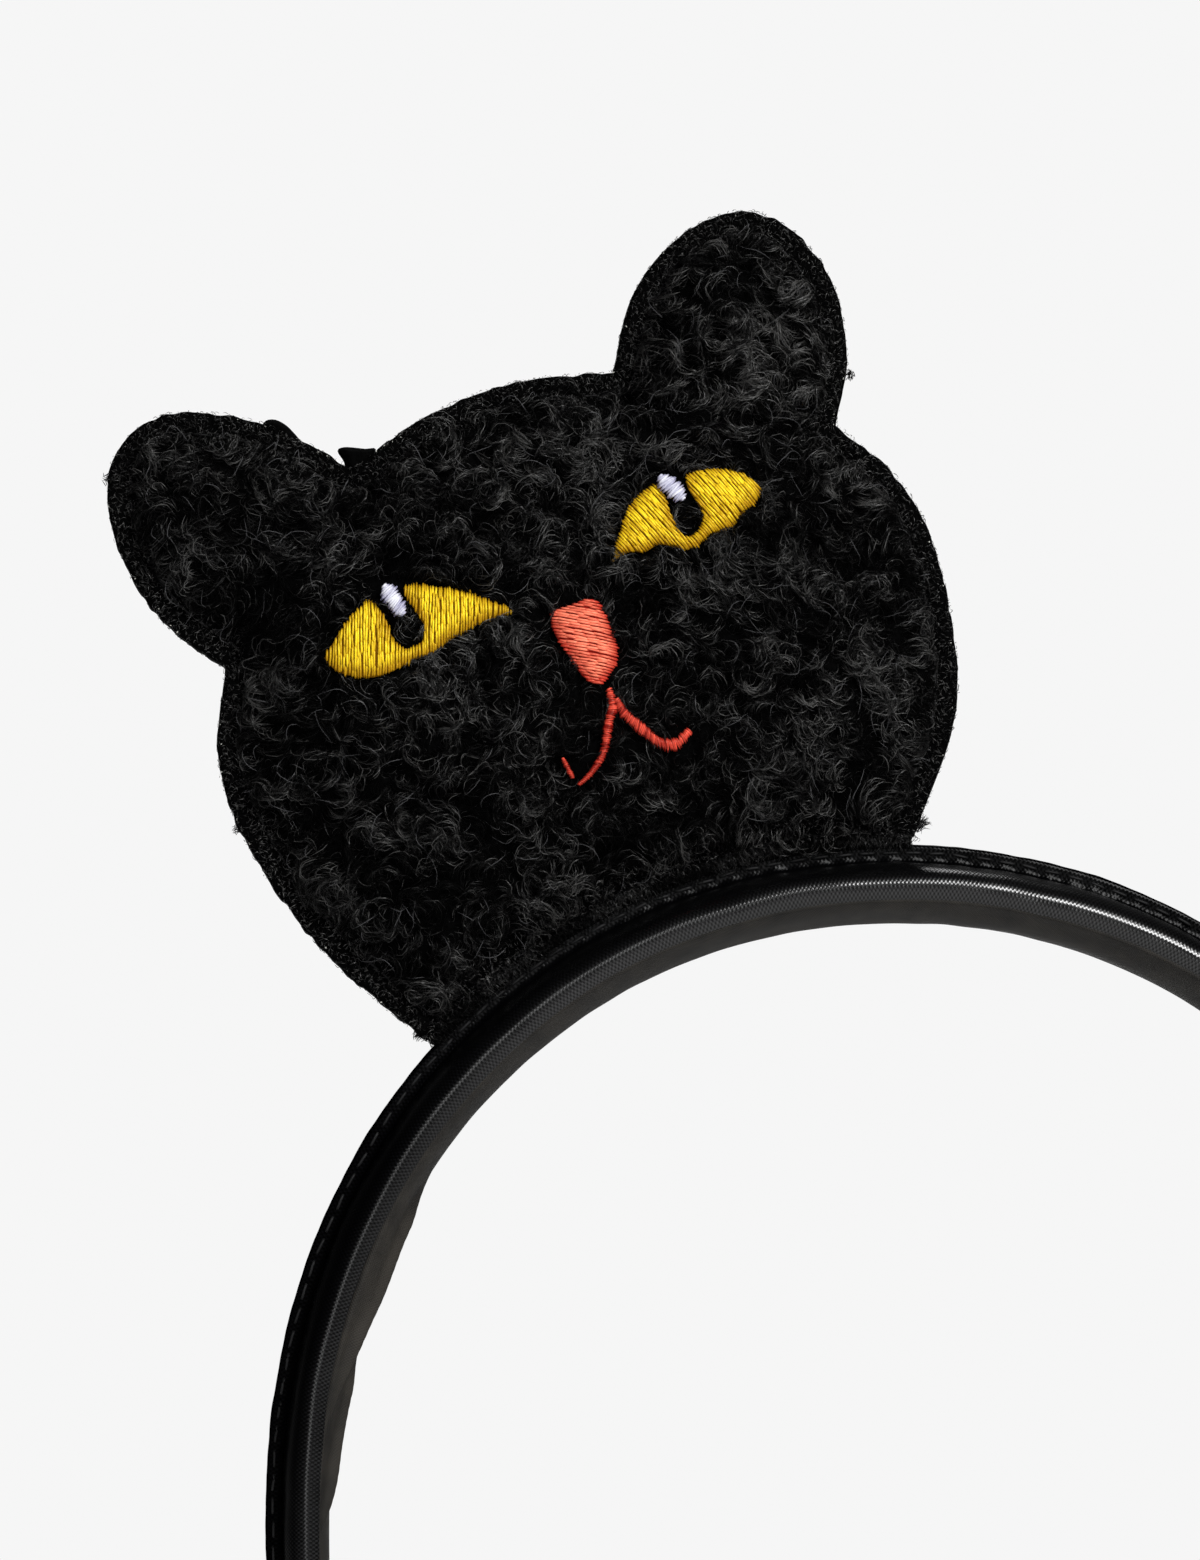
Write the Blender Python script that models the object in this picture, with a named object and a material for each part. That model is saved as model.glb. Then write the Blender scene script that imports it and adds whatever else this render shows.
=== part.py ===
"""Animal ears headband: a padded satin hair band with one stuffed plush cat head sewn on it, off centre.

Run with: blender --background --python part.py

Frame: X runs across the band from the viewer's left to right, -Y is the front, +Z is up. The origin lies
midway between the two leg tips, on the plane that they stand on. The band is an arch in the XZ plane.

Along the band a place is an arc length from the apex, positive down the right leg. Across the band it is
(depth, lift): depth along Y, and lift outwards from the core's middle, both at the crown's full section,
which narrows towards the tips.
"""

from math import asin, cos, pi, radians, sin, tan

import bmesh
import bpy
import numpy as np
from mathutils import Vector
from mathutils.geometry import delaunay_2d_cdt

MM = 0.001
SHARP_ANGLE = radians(35)   # edges bent by more than this stay sharp

# --- the band's core line ------------------------------------------------------------------------------
HALF_WIDTH = 66.7 * MM      # core's middle line, from the band's axis to its widest point
CROWN_RISE = 69.0 * MM      # from the widest level up to the apex
CROWN_SQUARENESS = 2.06      # superellipse exponent of the arch: 2 would be a plain ellipse
LEG_DROP = 48.0 * MM        # from the widest level down to the tips
LEG_CURL = 110.0 * MM       # vertical half axis of the ellipse along which the legs curl inwards
TIP_SCALE = 0.70            # the section at the tips, as a share of the crown's

# --- the band's section at the crown --------------------------------------------------------------------
HALF_DEPTH = 7.2 * MM       # cover, from the middle of the band to its front edge
DOME_RISE = 3.5 * MM        # cover, above the core's middle
DOME_SQUARENESS = 2.3
FLANGE_TIP = 5.6 * MM       # the stitched seam flange stands proud of the dome
FLANGE_LAYER = 0.65 * MM
CLOTH = 0.5 * MM            # satin with its backing
GAP = 0.3 * MM              # between neighbouring pieces
CORE_HALF_DEPTH = 5.9 * MM
CORE_HALF_THICKNESS = 0.8 * MM
CORE_CHAMFER = 0.35 * MM
EDGE_LIFT = -1.0 * MM       # where the cover ends and the lining starts, on the inner side
HEM_OUTER = 0.35 * MM       # the cover's hem: its outer and inner faces, in from the front edge
HEM_INNER = 0.8 * MM
PADDING_SLACK = 0.36 * MM   # between the cover and the padding
PADDING_PARTING = 1.0 * MM  # the padding stops this far from the middle, beside the flange
LINING_BULGE = 3.2 * MM     # the lining's middle, inwards from the core's middle
LINING_HALF_DEPTH = 6.6 * MM
LINING_SQUARENESS = 2.2
LINING_TUCK = 0.6 * MM      # the lining's edge lies this far inwards from the cover's
LINING_FLAT = 1.5 * MM      # half depth of the lining's flat middle
LINING_TAPER = 0.97         # depth of the lining's inner face, as a share of its outer face's
FELT_HALF_DEPTH = 3.9 * MM  # thin pad between the core and the lining
FELT_EDGE = 0.35 * MM       # its thickness at the edges and in the middle
FELT_MIDDLE = 0.65 * MM

# --- where the band flexes ------------------------------------------------------------------------------
FLEX_AT = 72.0 * MM         # arc length from the apex to each leg's flex line
OPENING_SLOPE = tan(radians(6.5))   # clearance per unit of lift, for a leg that spreads by 12 degrees
CLOSING_SLOPE = tan(radians(3.5))   # the same on the inner side, for 6 degrees inwards
END_FOLD = 3.0 * MM         # length of the sewn fold that closes each tip
END_FLAT = 1.5 * MM         # half depth of the fold's flat middle
END_SHOULDER = (0.6 * LINING_HALF_DEPTH, 0.8 * LINING_BULGE)   # its rounded corner on the lining's side
CROWN_RINGS, LEG_RINGS, END_RINGS = 20, 12, 3

# --- the cat head -----------------------------------------------------------------------------------------
HEAD_FEET = (-55.2 * MM, 1.4 * MM)   # arc lengths at which the head's base begins and ends
BASE_GAP = 1.0 * MM         # over the flange, so that the head can tilt
PILE_PANEL = 1.6 * MM       # pile fabric of one side
SEAM_BORDER = 2.6 * MM      # flat border outside the topstitching
PUFF = 6.2 * MM             # how far the stuffing lifts each panel
PUFF_SOFTNESS = 6.0 * MM    # over what distance from the seam it rises
STUFFING_SLACK = 1.1 * MM
STUFFING_INSET = 2.5 * MM   # the stuffing starts this far inside the seam
STUFFING_EDGE = 0.3 * MM    # its half thickness there
PANEL_GRID = 6.5 * MM       # spacing of the points inside a panel
GRID_MARGIN = 9.0 * MM      # and how far they keep from the outline
STUFFING_MARGIN = 3.0 * MM
SECOND_LOOP = 6.24 * MM     # a loop of points between the seam and the grid, where the puff is steep
INSET_KEPT = 0.93           # a loop's points nearer to the outline than this share of its distance are dropped
THREAD_HEIGHT = 0.7 * MM    # embroidery over the pile

# The head's outline in mm: across, and up from the chord between its two feet. Each stretch is a smooth
# curve through its points. Its corners are where two stretches meet, and the cheeks run on to the feet.
LEFT_CHEEK = [(-36.8, 13.8), (-40.0, 27.3), (-39.6, 38.0), (-34.7, 47.9)]
LEFT_EAR = [(-34.7, 47.9), (-39.4, 56.0), (-40.6, 66.0), (-37.6, 74.4), (-30.0, 77.2), (-20.1, 72.1),
            (-12.6, 63.3)]
HEAD_TOP = [(-12.6, 63.3), (-3.5, 65.7), (8.0, 65.7), (19.4, 62.5)]
RIGHT_EAR = [(19.4, 62.5), (25.3, 70.2), (34.0, 74.6), (42.5, 73.3), (46.8, 65.0), (45.6, 55.0), (40.8, 47.1)]
RIGHT_CHEEK = [(40.8, 47.1), (45.3, 37.0), (45.0, 25.4), (40.4, 11.5)]

# --- the embroidery, in mm in the head's own plane --------------------------------------------------------
EYES = {   # name: (centre, radii, tilt, middle of the pupil's slot)
    "left_eye": ((-14.0, 43.1), (10.9, 4.2), radians(-4), (-14.9, 42.4)),
    "right_eye": ((19.4, 43.2), (9.8, 4.0), radians(4), (19.3, 42.6)),
}
EYE_POINTEDNESS = 1.35      # 1 would be a plain ellipse
PUPIL_RADII = (1.1, 2.2)
GLINT_OFFSET, GLINT_RADII = (0.1, 4.4), (0.9, 2.0)   # the white bar, from the middle of the slot
NOSE = [(1.4, 32.6), (3.5, 29.5), (5.6, 32.6), (6.8, 37.3), (5.9, 38.6), (0.5, 38.5), (-0.4, 37.2)]
MOUTH_CURLS = {
    "mouth_left_curl": [(2.9, 28.6), (1.6, 22.4), (-2.2, 18.9), (-4.2, 22.6)],
    "mouth_right_curl": [(4.1, 28.6), (6.0, 22.4), (9.6, 20.0), (12.2, 22.6)],
}
MOUTH_HALF_WIDTH = 0.45

# --- colours (linear RGB), roughness, metallic ----------------------------------------------------------
SATIN = ("black_satin", (0.012, 0.012, 0.014), 0.38, 0.0)
LINING = ("lining_cloth", (0.045, 0.040, 0.038), 0.80, 0.0)
PILE = ("black_pile", (0.018, 0.018, 0.020), 0.95, 0.0)
CORE = ("core_plastic", (0.60, 0.60, 0.58), 0.45, 0.0)
FOAM = ("padding_foam", (0.75, 0.74, 0.70), 0.95, 0.0)
WADDING = ("stuffing_fibre", (0.85, 0.85, 0.84), 0.95, 0.0)
GOLD = ("gold_thread", (0.78, 0.42, 0.06), 0.40, 0.0)
WHITE = ("white_thread", (0.82, 0.82, 0.80), 0.45, 0.0)
RED = ("coral_thread", (0.62, 0.07, 0.05), 0.40, 0.0)


def clear_scene():
    for thing in list(bpy.data.objects):
        bpy.data.objects.remove(thing, do_unlink=True)


def material(finish):
    name, colour, roughness, metallic = finish
    found = bpy.data.materials.get(name)
    if found:
        return found
    made = bpy.data.materials.new(name)
    made.use_nodes = True
    shader = made.node_tree.nodes["Principled BSDF"]
    shader.inputs["Base Color"].default_value = (*colour, 1.0)
    shader.inputs["Roughness"].default_value = roughness
    shader.inputs["Metallic"].default_value = metallic
    return made


def add_object(name, points, faces, finish, parent=None):
    """One closed body, its faces turned outwards."""
    mesh = bpy.data.meshes.new(name)
    mesh.from_pydata([tuple(point) for point in points], [], faces)
    shell = bmesh.new()
    shell.from_mesh(mesh)
    bmesh.ops.recalc_face_normals(shell, faces=shell.faces)
    shell.to_mesh(mesh)
    shell.free()
    mesh.shade_smooth()
    mesh.set_sharp_from_angle(angle=SHARP_ANGLE)
    mesh.materials.append(material(finish))
    made = bpy.data.objects.new(name, mesh)
    made.parent = parent
    bpy.context.collection.objects.link(made)
    return made


def add_empty(name, location, rotation_y=0.0):
    empty = bpy.data.objects.new(name, None)
    empty.location = location
    empty.rotation_euler = (0.0, rotation_y, 0.0)
    empty.empty_display_size = 10 * MM
    bpy.context.collection.objects.link(empty)
    return empty


# --- the band ---------------------------------------------------------------------------------------------
def half_spine(count=400):
    """X and Z from the apex down the right leg: a superellipse quarter, then the ellipse that curls in."""
    turn = np.linspace(0, pi / 2, count)
    power = 2 / CROWN_SQUARENESS
    crown = np.column_stack((HALF_WIDTH * np.sin(turn) ** power,
                             LEG_DROP + CROWN_RISE * np.abs(np.cos(turn)) ** power))
    drop = np.linspace(0, asin(LEG_DROP / LEG_CURL), count)[1:]
    leg = np.column_stack((HALF_WIDTH * np.cos(drop), LEG_DROP - LEG_CURL * np.sin(drop)))
    return np.vstack((crown, leg))


SPINE = half_spine()
ARC = np.concatenate(([0.0], np.cumsum(np.linalg.norm(np.diff(SPINE, axis=0), axis=1))))
TIP_AT = ARC[-1]


def spine_point(arc):
    x = np.interp(abs(arc), ARC, SPINE[:, 0])
    z = np.interp(abs(arc), ARC, SPINE[:, 1])
    return np.array((-x if arc < 0 else x, 0.0, z))


def spine_frame(arc):
    """The point at an arc length, the direction of growing arc length, and the outward direction."""
    step = 0.5 * MM
    near = float(np.clip(arc, -TIP_AT + step, TIP_AT - step))
    along = spine_point(near + step) - spine_point(near - step)
    along /= np.linalg.norm(along)
    return spine_point(arc), along, np.array((-along[2], 0.0, along[0]))


def section_scale(arc):
    return 1 - (1 - TIP_SCALE) * (arc / TIP_AT) ** 2


def band_point(arc, depth, lift, shift=0.0):
    """A point of the section at an arc length, shifted along the band."""
    place, along, outwards = spine_frame(arc)
    scale = section_scale(arc)
    return place + outwards * lift * scale + np.array((0, 1, 0)) * depth * scale + along * shift


def flex_shift(lift):
    """How far a piece stays back from the flex line, so that it clears its neighbour over the range."""
    return GAP / 2 + (lift * OPENING_SLOPE if lift > 0 else -lift * CLOSING_SLOPE)


def foot_shift(arc, depth, lift):
    """How far along the band a point of the section reaches the plane that the tips stand on."""
    along = spine_frame(arc)[1]
    return -band_point(arc, depth, lift)[2] / along[2]


def sweep(section, start, end, rings, shifts=(None, None)):
    """Rings of a section from one arc length to another, closed at both ends. A shift moves an end's points."""
    points, faces = [], []
    size = len(section)
    arcs = np.linspace(start, end, rings)
    for index, arc in enumerate(arcs):
        shift = shifts[0] if index == 0 else shifts[1] if index == rings - 1 else None
        for depth, lift in section:
            points.append(band_point(arc, depth, lift, shift(arc, depth, lift) if shift else 0.0))
    for ring in range(rings - 1):
        for corner in range(size):
            nearby = (corner + 1) % size
            faces.append((ring * size + corner, ring * size + nearby,
                          (ring + 1) * size + nearby, (ring + 1) * size + corner))
    faces.append(tuple(range(size)))
    faces.append(tuple((rings - 1) * size + corner for corner in range(size)))
    return points, faces


def dome_arc(half_depth, rise, inner_depth, from_lift=0.0, count=5):
    """The front half of a dome, from its foot at the front edge up to a depth near the middle."""
    power = 2 / DOME_SQUARENESS
    first = asin((from_lift / rise) ** (1 / power))
    last = asin((1 - (inner_depth / half_depth) ** (2 / power)) ** 0.5)
    return [(-half_depth * cos(turn) ** power, rise * sin(turn) ** power)
            for turn in np.linspace(first, last, count)]


def mirrored(section):
    return [(-depth, lift) for depth, lift in section]


def symmetric(front_half):
    """A whole section from its front half, which runs from the middle round to the middle."""
    return front_half + mirrored(front_half)[::-1]


def cover_section():
    """The front half of the cover: a dome, folded up at the middle into one layer of the flange."""
    middle = GAP / 2
    outer = dome_arc(HALF_DEPTH, DOME_RISE, middle + FLANGE_LAYER)
    inner = dome_arc(HALF_DEPTH - CLOTH, DOME_RISE - CLOTH, middle, count=4)
    edge = [(-HALF_DEPTH + HEM_INNER, EDGE_LIFT), (-HALF_DEPTH + HEM_OUTER, EDGE_LIFT)]
    flange = [(-middle - FLANGE_LAYER, FLANGE_TIP), (-middle, FLANGE_TIP)]
    return edge + outer + flange + inner[::-1]


def foam_section():
    inset = CLOTH + PADDING_SLACK
    return symmetric(dome_arc(HALF_DEPTH - inset, DOME_RISE - inset, PADDING_PARTING,
                              from_lift=CORE_HALF_THICKNESS + GAP, count=4))


def core_section():
    deep, thick, cut = CORE_HALF_DEPTH, CORE_HALF_THICKNESS, CORE_CHAMFER
    return symmetric([(-deep + cut, -thick), (-deep, -thick + cut), (-deep, thick - cut), (-deep + cut, thick)])


def lining_lift(depth):
    """The curve of the inner side, from the edge of the lining to its middle."""
    edge = EDGE_LIFT - LINING_TUCK
    return edge - (LINING_BULGE + edge) * (1 - abs(depth / LINING_HALF_DEPTH) ** LINING_SQUARENESS)


def lining_section():
    outer = [(depth, lining_lift(depth)) for depth in np.linspace(-LINING_HALF_DEPTH, -LINING_FLAT, 4)]
    inner = [(LINING_TAPER * depth, lift + CLOTH) for depth, lift in outer]
    inner[0] = (outer[0][0], EDGE_LIFT - GAP)
    return outer + mirrored(outer)[::-1] + mirrored(inner) + inner[::-1]


def felt_section():
    """A thin pad between the core and the lining."""
    top = -CORE_HALF_THICKNESS - GAP
    half = FELT_HALF_DEPTH
    lower = [(-half, top - FELT_EDGE), (-half / 2, top - FELT_MIDDLE)]
    return [(-half, top)] + lower + mirrored(lower)[::-1] + [(half, top)]


def end_section():
    """The closed end of the sewn tube: its dome and its lining side in one outline."""
    shoulder_depth, shoulder_rise = END_SHOULDER
    inner = [(-END_FLAT, -LINING_BULGE), (-shoulder_depth, -shoulder_rise)]
    return symmetric(inner + dome_arc(HALF_DEPTH, DOME_RISE, END_FLAT))


BAND_PIECES = {
    "core": (core_section, CORE),
    "padding": (foam_section, FOAM),
    "inner_pad": (felt_section, FOAM),
    "cover_front": (cover_section, SATIN),
    "cover_back": (lambda: mirrored(cover_section()), SATIN),
    "lining": (lining_section, LINING),
}


def build_band():
    """The crown and the two legs: the same six pieces in each, parted at the flex lines."""
    reach = TIP_AT - END_FOLD - GAP
    keep_back = (lambda arc, depth, lift: flex_shift(lift), lambda arc, depth, lift: -flex_shift(lift))
    for piece, (section, finish) in BAND_PIECES.items():
        crown = sweep(section(), -FLEX_AT, FLEX_AT, CROWN_RINGS, keep_back)
        add_object(f"crown_{piece}", *crown, finish)
    for side, sign in (("left", -1), ("right", 1)):
        hinge = spine_point(sign * FLEX_AT)
        leg = add_empty(f"{side}_leg_frame", hinge)
        for piece, (section, finish) in BAND_PIECES.items():
            away = (lambda arc, depth, lift: sign * flex_shift(lift), None)
            points, faces = sweep(section(), sign * FLEX_AT, sign * reach, LEG_RINGS, away)
            add_object(f"{side}_leg_{piece}", np.array(points) - hinge, faces, finish, leg)
        to_foot = (None, foot_shift)
        points, faces = sweep(end_section(), sign * (TIP_AT - END_FOLD), sign * TIP_AT, END_RINGS, to_foot)
        add_object(f"{side}_leg_end_fold", np.array(points) - hinge, faces, SATIN, leg)


# --- the head ---------------------------------------------------------------------------------------------
def flange_point(arc, above):
    """A point over the flange's tip, in X and Z."""
    place, _, outwards = spine_frame(arc)
    return (place + outwards * (FLANGE_TIP * section_scale(arc) + above))[[0, 2]]


FOOT_LEFT = flange_point(HEAD_FEET[0], BASE_GAP)
FOOT_RIGHT = flange_point(HEAD_FEET[1], BASE_GAP)
HEAD_ORIGIN = (FOOT_LEFT + FOOT_RIGHT) / 2
HEAD_ACROSS = (FOOT_RIGHT - FOOT_LEFT) / np.linalg.norm(FOOT_RIGHT - FOOT_LEFT)
HEAD_UP = np.array((-HEAD_ACROSS[1], HEAD_ACROSS[0]))


def smooth_stretch(points, per_span=3):
    """A curve through the points, without its last one."""
    knots = np.array([2 * np.array(points[0]) - points[1], *points, 2 * np.array(points[-1]) - points[-2]])
    curve = []
    for before, start, end, after in zip(knots, knots[1:], knots[2:], knots[3:]):
        for t in np.arange(per_span) / per_span:
            curve.append(0.5 * (2 * start + (end - before) * t
                                + (2 * before - 5 * start + 4 * end - after) * t ** 2
                                + (3 * start - before - 3 * end + after) * t ** 3))
    return curve


def head_outline(spacing=4.5 * MM):
    """The outline in the head's own plane, from the left foot over the ears and back along the band."""
    foot = np.linalg.norm(FOOT_RIGHT - FOOT_LEFT) / 2 / MM
    upper = []
    for stretch in ([(-foot, 0.0)] + LEFT_CHEEK, LEFT_EAR, HEAD_TOP, RIGHT_EAR, RIGHT_CHEEK + [(foot, 0.0)]):
        upper += [point * MM for point in smooth_stretch(stretch)]
    count = int((HEAD_FEET[1] - HEAD_FEET[0]) / spacing)
    base = []
    for arc in np.linspace(HEAD_FEET[1], HEAD_FEET[0], count, endpoint=False):
        offset = flange_point(arc, BASE_GAP) - HEAD_ORIGIN
        base.append(np.array((offset @ HEAD_ACROSS, offset @ HEAD_UP)))
    return np.array(upper + base)


OUTLINE = head_outline()


def edge_distance(places, outline=OUTLINE):
    """The distance of each place from the outline."""
    start, end = outline, np.roll(outline, -1, axis=0)
    span = end - start
    offset = places[:, None, :] - start[None]
    share = np.clip((offset * span).sum(-1) / (span ** 2).sum(-1), 0, 1)
    return np.linalg.norm(offset - share[..., None] * span, axis=-1).min(axis=1)


def inset_loop(distance, step=2):
    """Points at a distance inside the outline, which runs clockwise."""
    ahead = np.roll(OUTLINE, -1, axis=0) - np.roll(OUTLINE, 1, axis=0)
    ahead /= np.linalg.norm(ahead, axis=1)[:, None]
    moved = OUTLINE + np.column_stack((ahead[:, 1], -ahead[:, 0])) * distance
    return moved[edge_distance(moved) > INSET_KEPT * distance][::step]


def puff(places):
    """How far the stuffing lifts a panel at each place."""
    inside = np.maximum(edge_distance(places) - SEAM_BORDER, 0)
    return PUFF * (1 - np.exp(-inside / PUFF_SOFTNESS))


def fill_grid(outline, margin):
    """Staggered points inside an outline, at least a margin from it."""
    low, high = outline.min(axis=0), outline.max(axis=0)
    rows = []
    for row, up in enumerate(np.arange(low[1], high[1], 0.87 * PANEL_GRID)):
        for across in np.arange(low[0] + (row % 2) * PANEL_GRID / 2, high[0], PANEL_GRID):
            rows.append((across, up))
    places = np.array(rows)
    return places[inside_outline(places, outline) & (edge_distance(places, outline) > margin)]


def inside_outline(places, outline):
    """Which places lie inside, by counting crossings."""
    start, end = outline, np.roll(outline, -1, axis=0)
    x, z = places[:, :1], places[:, 1:]
    spans = (start[:, 1] > z) != (end[:, 1] > z)
    rise = np.where(end[:, 1] == start[:, 1], 1.0, end[:, 1] - start[:, 1])
    crossing = start[:, 0] + (z - start[:, 1]) * (end[:, 0] - start[:, 0]) / rise
    return (spans & (x < crossing)).sum(axis=1) % 2 == 1


def slab(outline, extra, front, back):
    """A closed solid over an outline, between two surfaces given as functions of the place."""
    count = len(outline)
    loop = [(index, (index + 1) % count) for index in range(count)]
    flat = [Vector(place) for place in [*outline, *extra]]
    cut = delaunay_2d_cdt(flat, loop, [tuple(range(count))], 1, 1e-7)
    places = np.array([tuple(place) for place in cut[0]])
    triangles = [tuple(face) for face in cut[2]]
    rim = {}
    for face in triangles:
        for a, b in zip(face, face[1:] + face[:1]):
            if (b, a) in rim:
                del rim[(b, a)]
            else:
                rim[(a, b)] = True
    size = len(places)
    points = [(across, depth, up) for (across, up), depth in zip(places, front(places))]
    points += [(across, depth, up) for (across, up), depth in zip(places, back(places))]
    faces = triangles + [tuple(size + corner for corner in face[::-1]) for face in triangles]
    faces += [(b, a, size + a, size + b) for a, b in rim]
    return points, faces


def ellipse(centre, radii, tilt=0.0, count=16, power=1.0):
    """A loop of points, pointed where power is over 1."""
    loop = []
    for turn in np.arange(count) / count * 2 * pi:
        x = radii[0] * np.sign(cos(turn)) * abs(cos(turn)) ** power
        z = radii[1] * sin(turn)
        loop.append((centre[0] + x * cos(tilt) - z * sin(tilt), centre[1] + x * sin(tilt) + z * cos(tilt)))
    return np.array(loop) * MM


def over_pile(height):
    """A surface above the front panel, as a function of the place."""
    return lambda places: -(GAP / 2 + PILE_PANEL + puff(places) + height)


def build_panels(frame):
    extra = np.vstack((inset_loop(SEAM_BORDER), inset_loop(SECOND_LOOP), fill_grid(OUTLINE, GRID_MARGIN)))
    for name, sign in (("head_front_panel", -1), ("head_back_panel", 1)):
        panel = slab(OUTLINE, extra, lambda places: sign * (GAP / 2 + PILE_PANEL + puff(places)),
                     lambda places: sign * (GAP / 2 + puff(places)))
        add_object(name, *panel, PILE, frame)
    rim = inset_loop(SEAM_BORDER + STUFFING_INSET, step=1)
    stuffing = slab(rim, fill_grid(rim, STUFFING_MARGIN), lambda places: -stuffing_height(places),
                    stuffing_height)
    add_object("head_stuffing", *stuffing, WADDING, frame)


def stuffing_height(places):
    """Half the stuffing's thickness at each place."""
    return np.maximum(puff(places) - STUFFING_SLACK, STUFFING_EDGE)


def build_eye(frame, name, centre, radii, tilt, pupil):
    """A pointed golden almond with a slot for the pupil, and a white bar stitched across its top."""
    rim = ellipse(centre, radii, tilt, 18, EYE_POINTEDNESS)
    slot = ellipse(pupil, PUPIL_RADII, tilt, 18)
    count = len(rim)
    points = []
    for height in (GAP + THREAD_HEIGHT, GAP):
        for loop in (rim, slot):
            depth = over_pile(height)(loop)
            points += [(across, y, up) for (across, up), y in zip(loop, depth)]
    faces = []
    for index in range(count):
        ahead = (index + 1) % count
        for a, b in ((0, 1), (1, 3), (3, 2), (2, 0)):
            faces.append((a * count + index, a * count + ahead, b * count + ahead, b * count + index))
    add_object(name, points, faces, GOLD, frame)
    bar = ellipse((pupil[0] + GLINT_OFFSET[0], pupil[1] + GLINT_OFFSET[1]), GLINT_RADII, tilt, 10)
    low, high = THREAD_HEIGHT + 2 * GAP, 1.8 * THREAD_HEIGHT + 2 * GAP
    add_object(f"{name}_highlight", *slab(bar, [], over_pile(high), over_pile(low)), WHITE, frame)


def ribbon(points, half_width):
    """The outline of a line of stitches along a curve."""
    curve = np.array(smooth_stretch(points, 4) + [np.array(points[-1])])
    ahead = np.gradient(curve, axis=0)
    side = np.column_stack((-ahead[:, 1], ahead[:, 0])) / np.linalg.norm(ahead, axis=1)[:, None] * half_width
    return np.vstack((curve + side, (curve - side)[::-1])) * MM


def build_face(frame):
    for name, shape in EYES.items():
        build_eye(frame, name, *shape)
    surface = (over_pile(GAP + THREAD_HEIGHT), over_pile(GAP))
    add_object("nose", *slab(np.array(NOSE) * MM, [], *surface), RED, frame)
    for name, route in MOUTH_CURLS.items():
        add_object(name, *slab(ribbon(route, MOUTH_HALF_WIDTH), [], *surface), RED, frame)


def build_head():
    """Everything on the head is drawn in its own plane, on an empty that lies on its sewn base line."""
    tilt = -np.arctan2(HEAD_ACROSS[1], HEAD_ACROSS[0])
    frame = add_empty("cat_head_frame", (HEAD_ORIGIN[0], 0.0, HEAD_ORIGIN[1]), tilt)
    build_panels(frame)
    build_face(frame)


def main():
    clear_scene()
    build_band()
    build_head()


main()
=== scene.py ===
"""Animal ears headband: its looks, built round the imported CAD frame.

Lengths are in mm up to mesh_object, which turns them into metres. A place on the band is an arc length from
the apex, positive down the right leg, with a depth along Y and a lift outwards from the core. A place on the
cat head is (across, up) in the head's own plane, and a height from its middle plane towards its own side.
"""

from math import asin, cos, pi, radians, sin

import bpy
import numpy as np
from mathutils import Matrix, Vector
from mathutils.bvhtree import BVHTree
from mathutils.geometry import delaunay_2d_cdt


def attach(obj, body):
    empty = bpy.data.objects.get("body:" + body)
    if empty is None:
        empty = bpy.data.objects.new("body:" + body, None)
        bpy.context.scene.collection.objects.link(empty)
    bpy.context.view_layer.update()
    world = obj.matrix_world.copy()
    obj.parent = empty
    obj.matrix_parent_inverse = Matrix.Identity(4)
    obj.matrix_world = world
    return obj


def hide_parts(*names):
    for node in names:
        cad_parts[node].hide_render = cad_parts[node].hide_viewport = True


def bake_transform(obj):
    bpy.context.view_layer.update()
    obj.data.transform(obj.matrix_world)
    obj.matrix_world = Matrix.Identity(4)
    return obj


MM = 0.001
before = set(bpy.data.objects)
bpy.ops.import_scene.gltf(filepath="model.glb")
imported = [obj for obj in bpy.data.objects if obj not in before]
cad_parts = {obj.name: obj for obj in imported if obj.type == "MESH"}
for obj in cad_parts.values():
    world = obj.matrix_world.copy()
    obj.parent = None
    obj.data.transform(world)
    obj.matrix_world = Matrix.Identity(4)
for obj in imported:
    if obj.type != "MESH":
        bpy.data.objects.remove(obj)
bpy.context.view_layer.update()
scene = bpy.context.scene

# --- the band, as in the CAD ---
HALF_WIDTH, CROWN_RISE, CROWN_SQUARENESS = 66.7, 69.0, 2.06
LEG_DROP, LEG_CURL = 48.0, 110.0
TIP_SCALE = 0.70
HALF_DEPTH, DOME_RISE, DOME_SQUARENESS = 7.2, 3.5, 2.3
FLANGE_TIP, CLOTH = 5.6, 0.5
EDGE_LIFT, LINING_BULGE, LINING_HALF_DEPTH = -1.0, 3.2, 6.6
CORE_HALF_THICKNESS, GAP = 0.8, 0.3
FLEX_AT, END_FOLD = 72.0, 3.0
HALVES_MEET = -20.0                     # arc length at which the left and right halves of the sleeve meet
FLANGE_FROM = 9.4                       # how far across the cover, from its hem, the flange begins
STITCH_PITCH, STITCH_INSET = 2.5, 2.4   # of the flange's running stitches, and from the cover's outer hem
SKIN_STEP = 0.24                        # between the points across a cover or the lining

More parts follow.
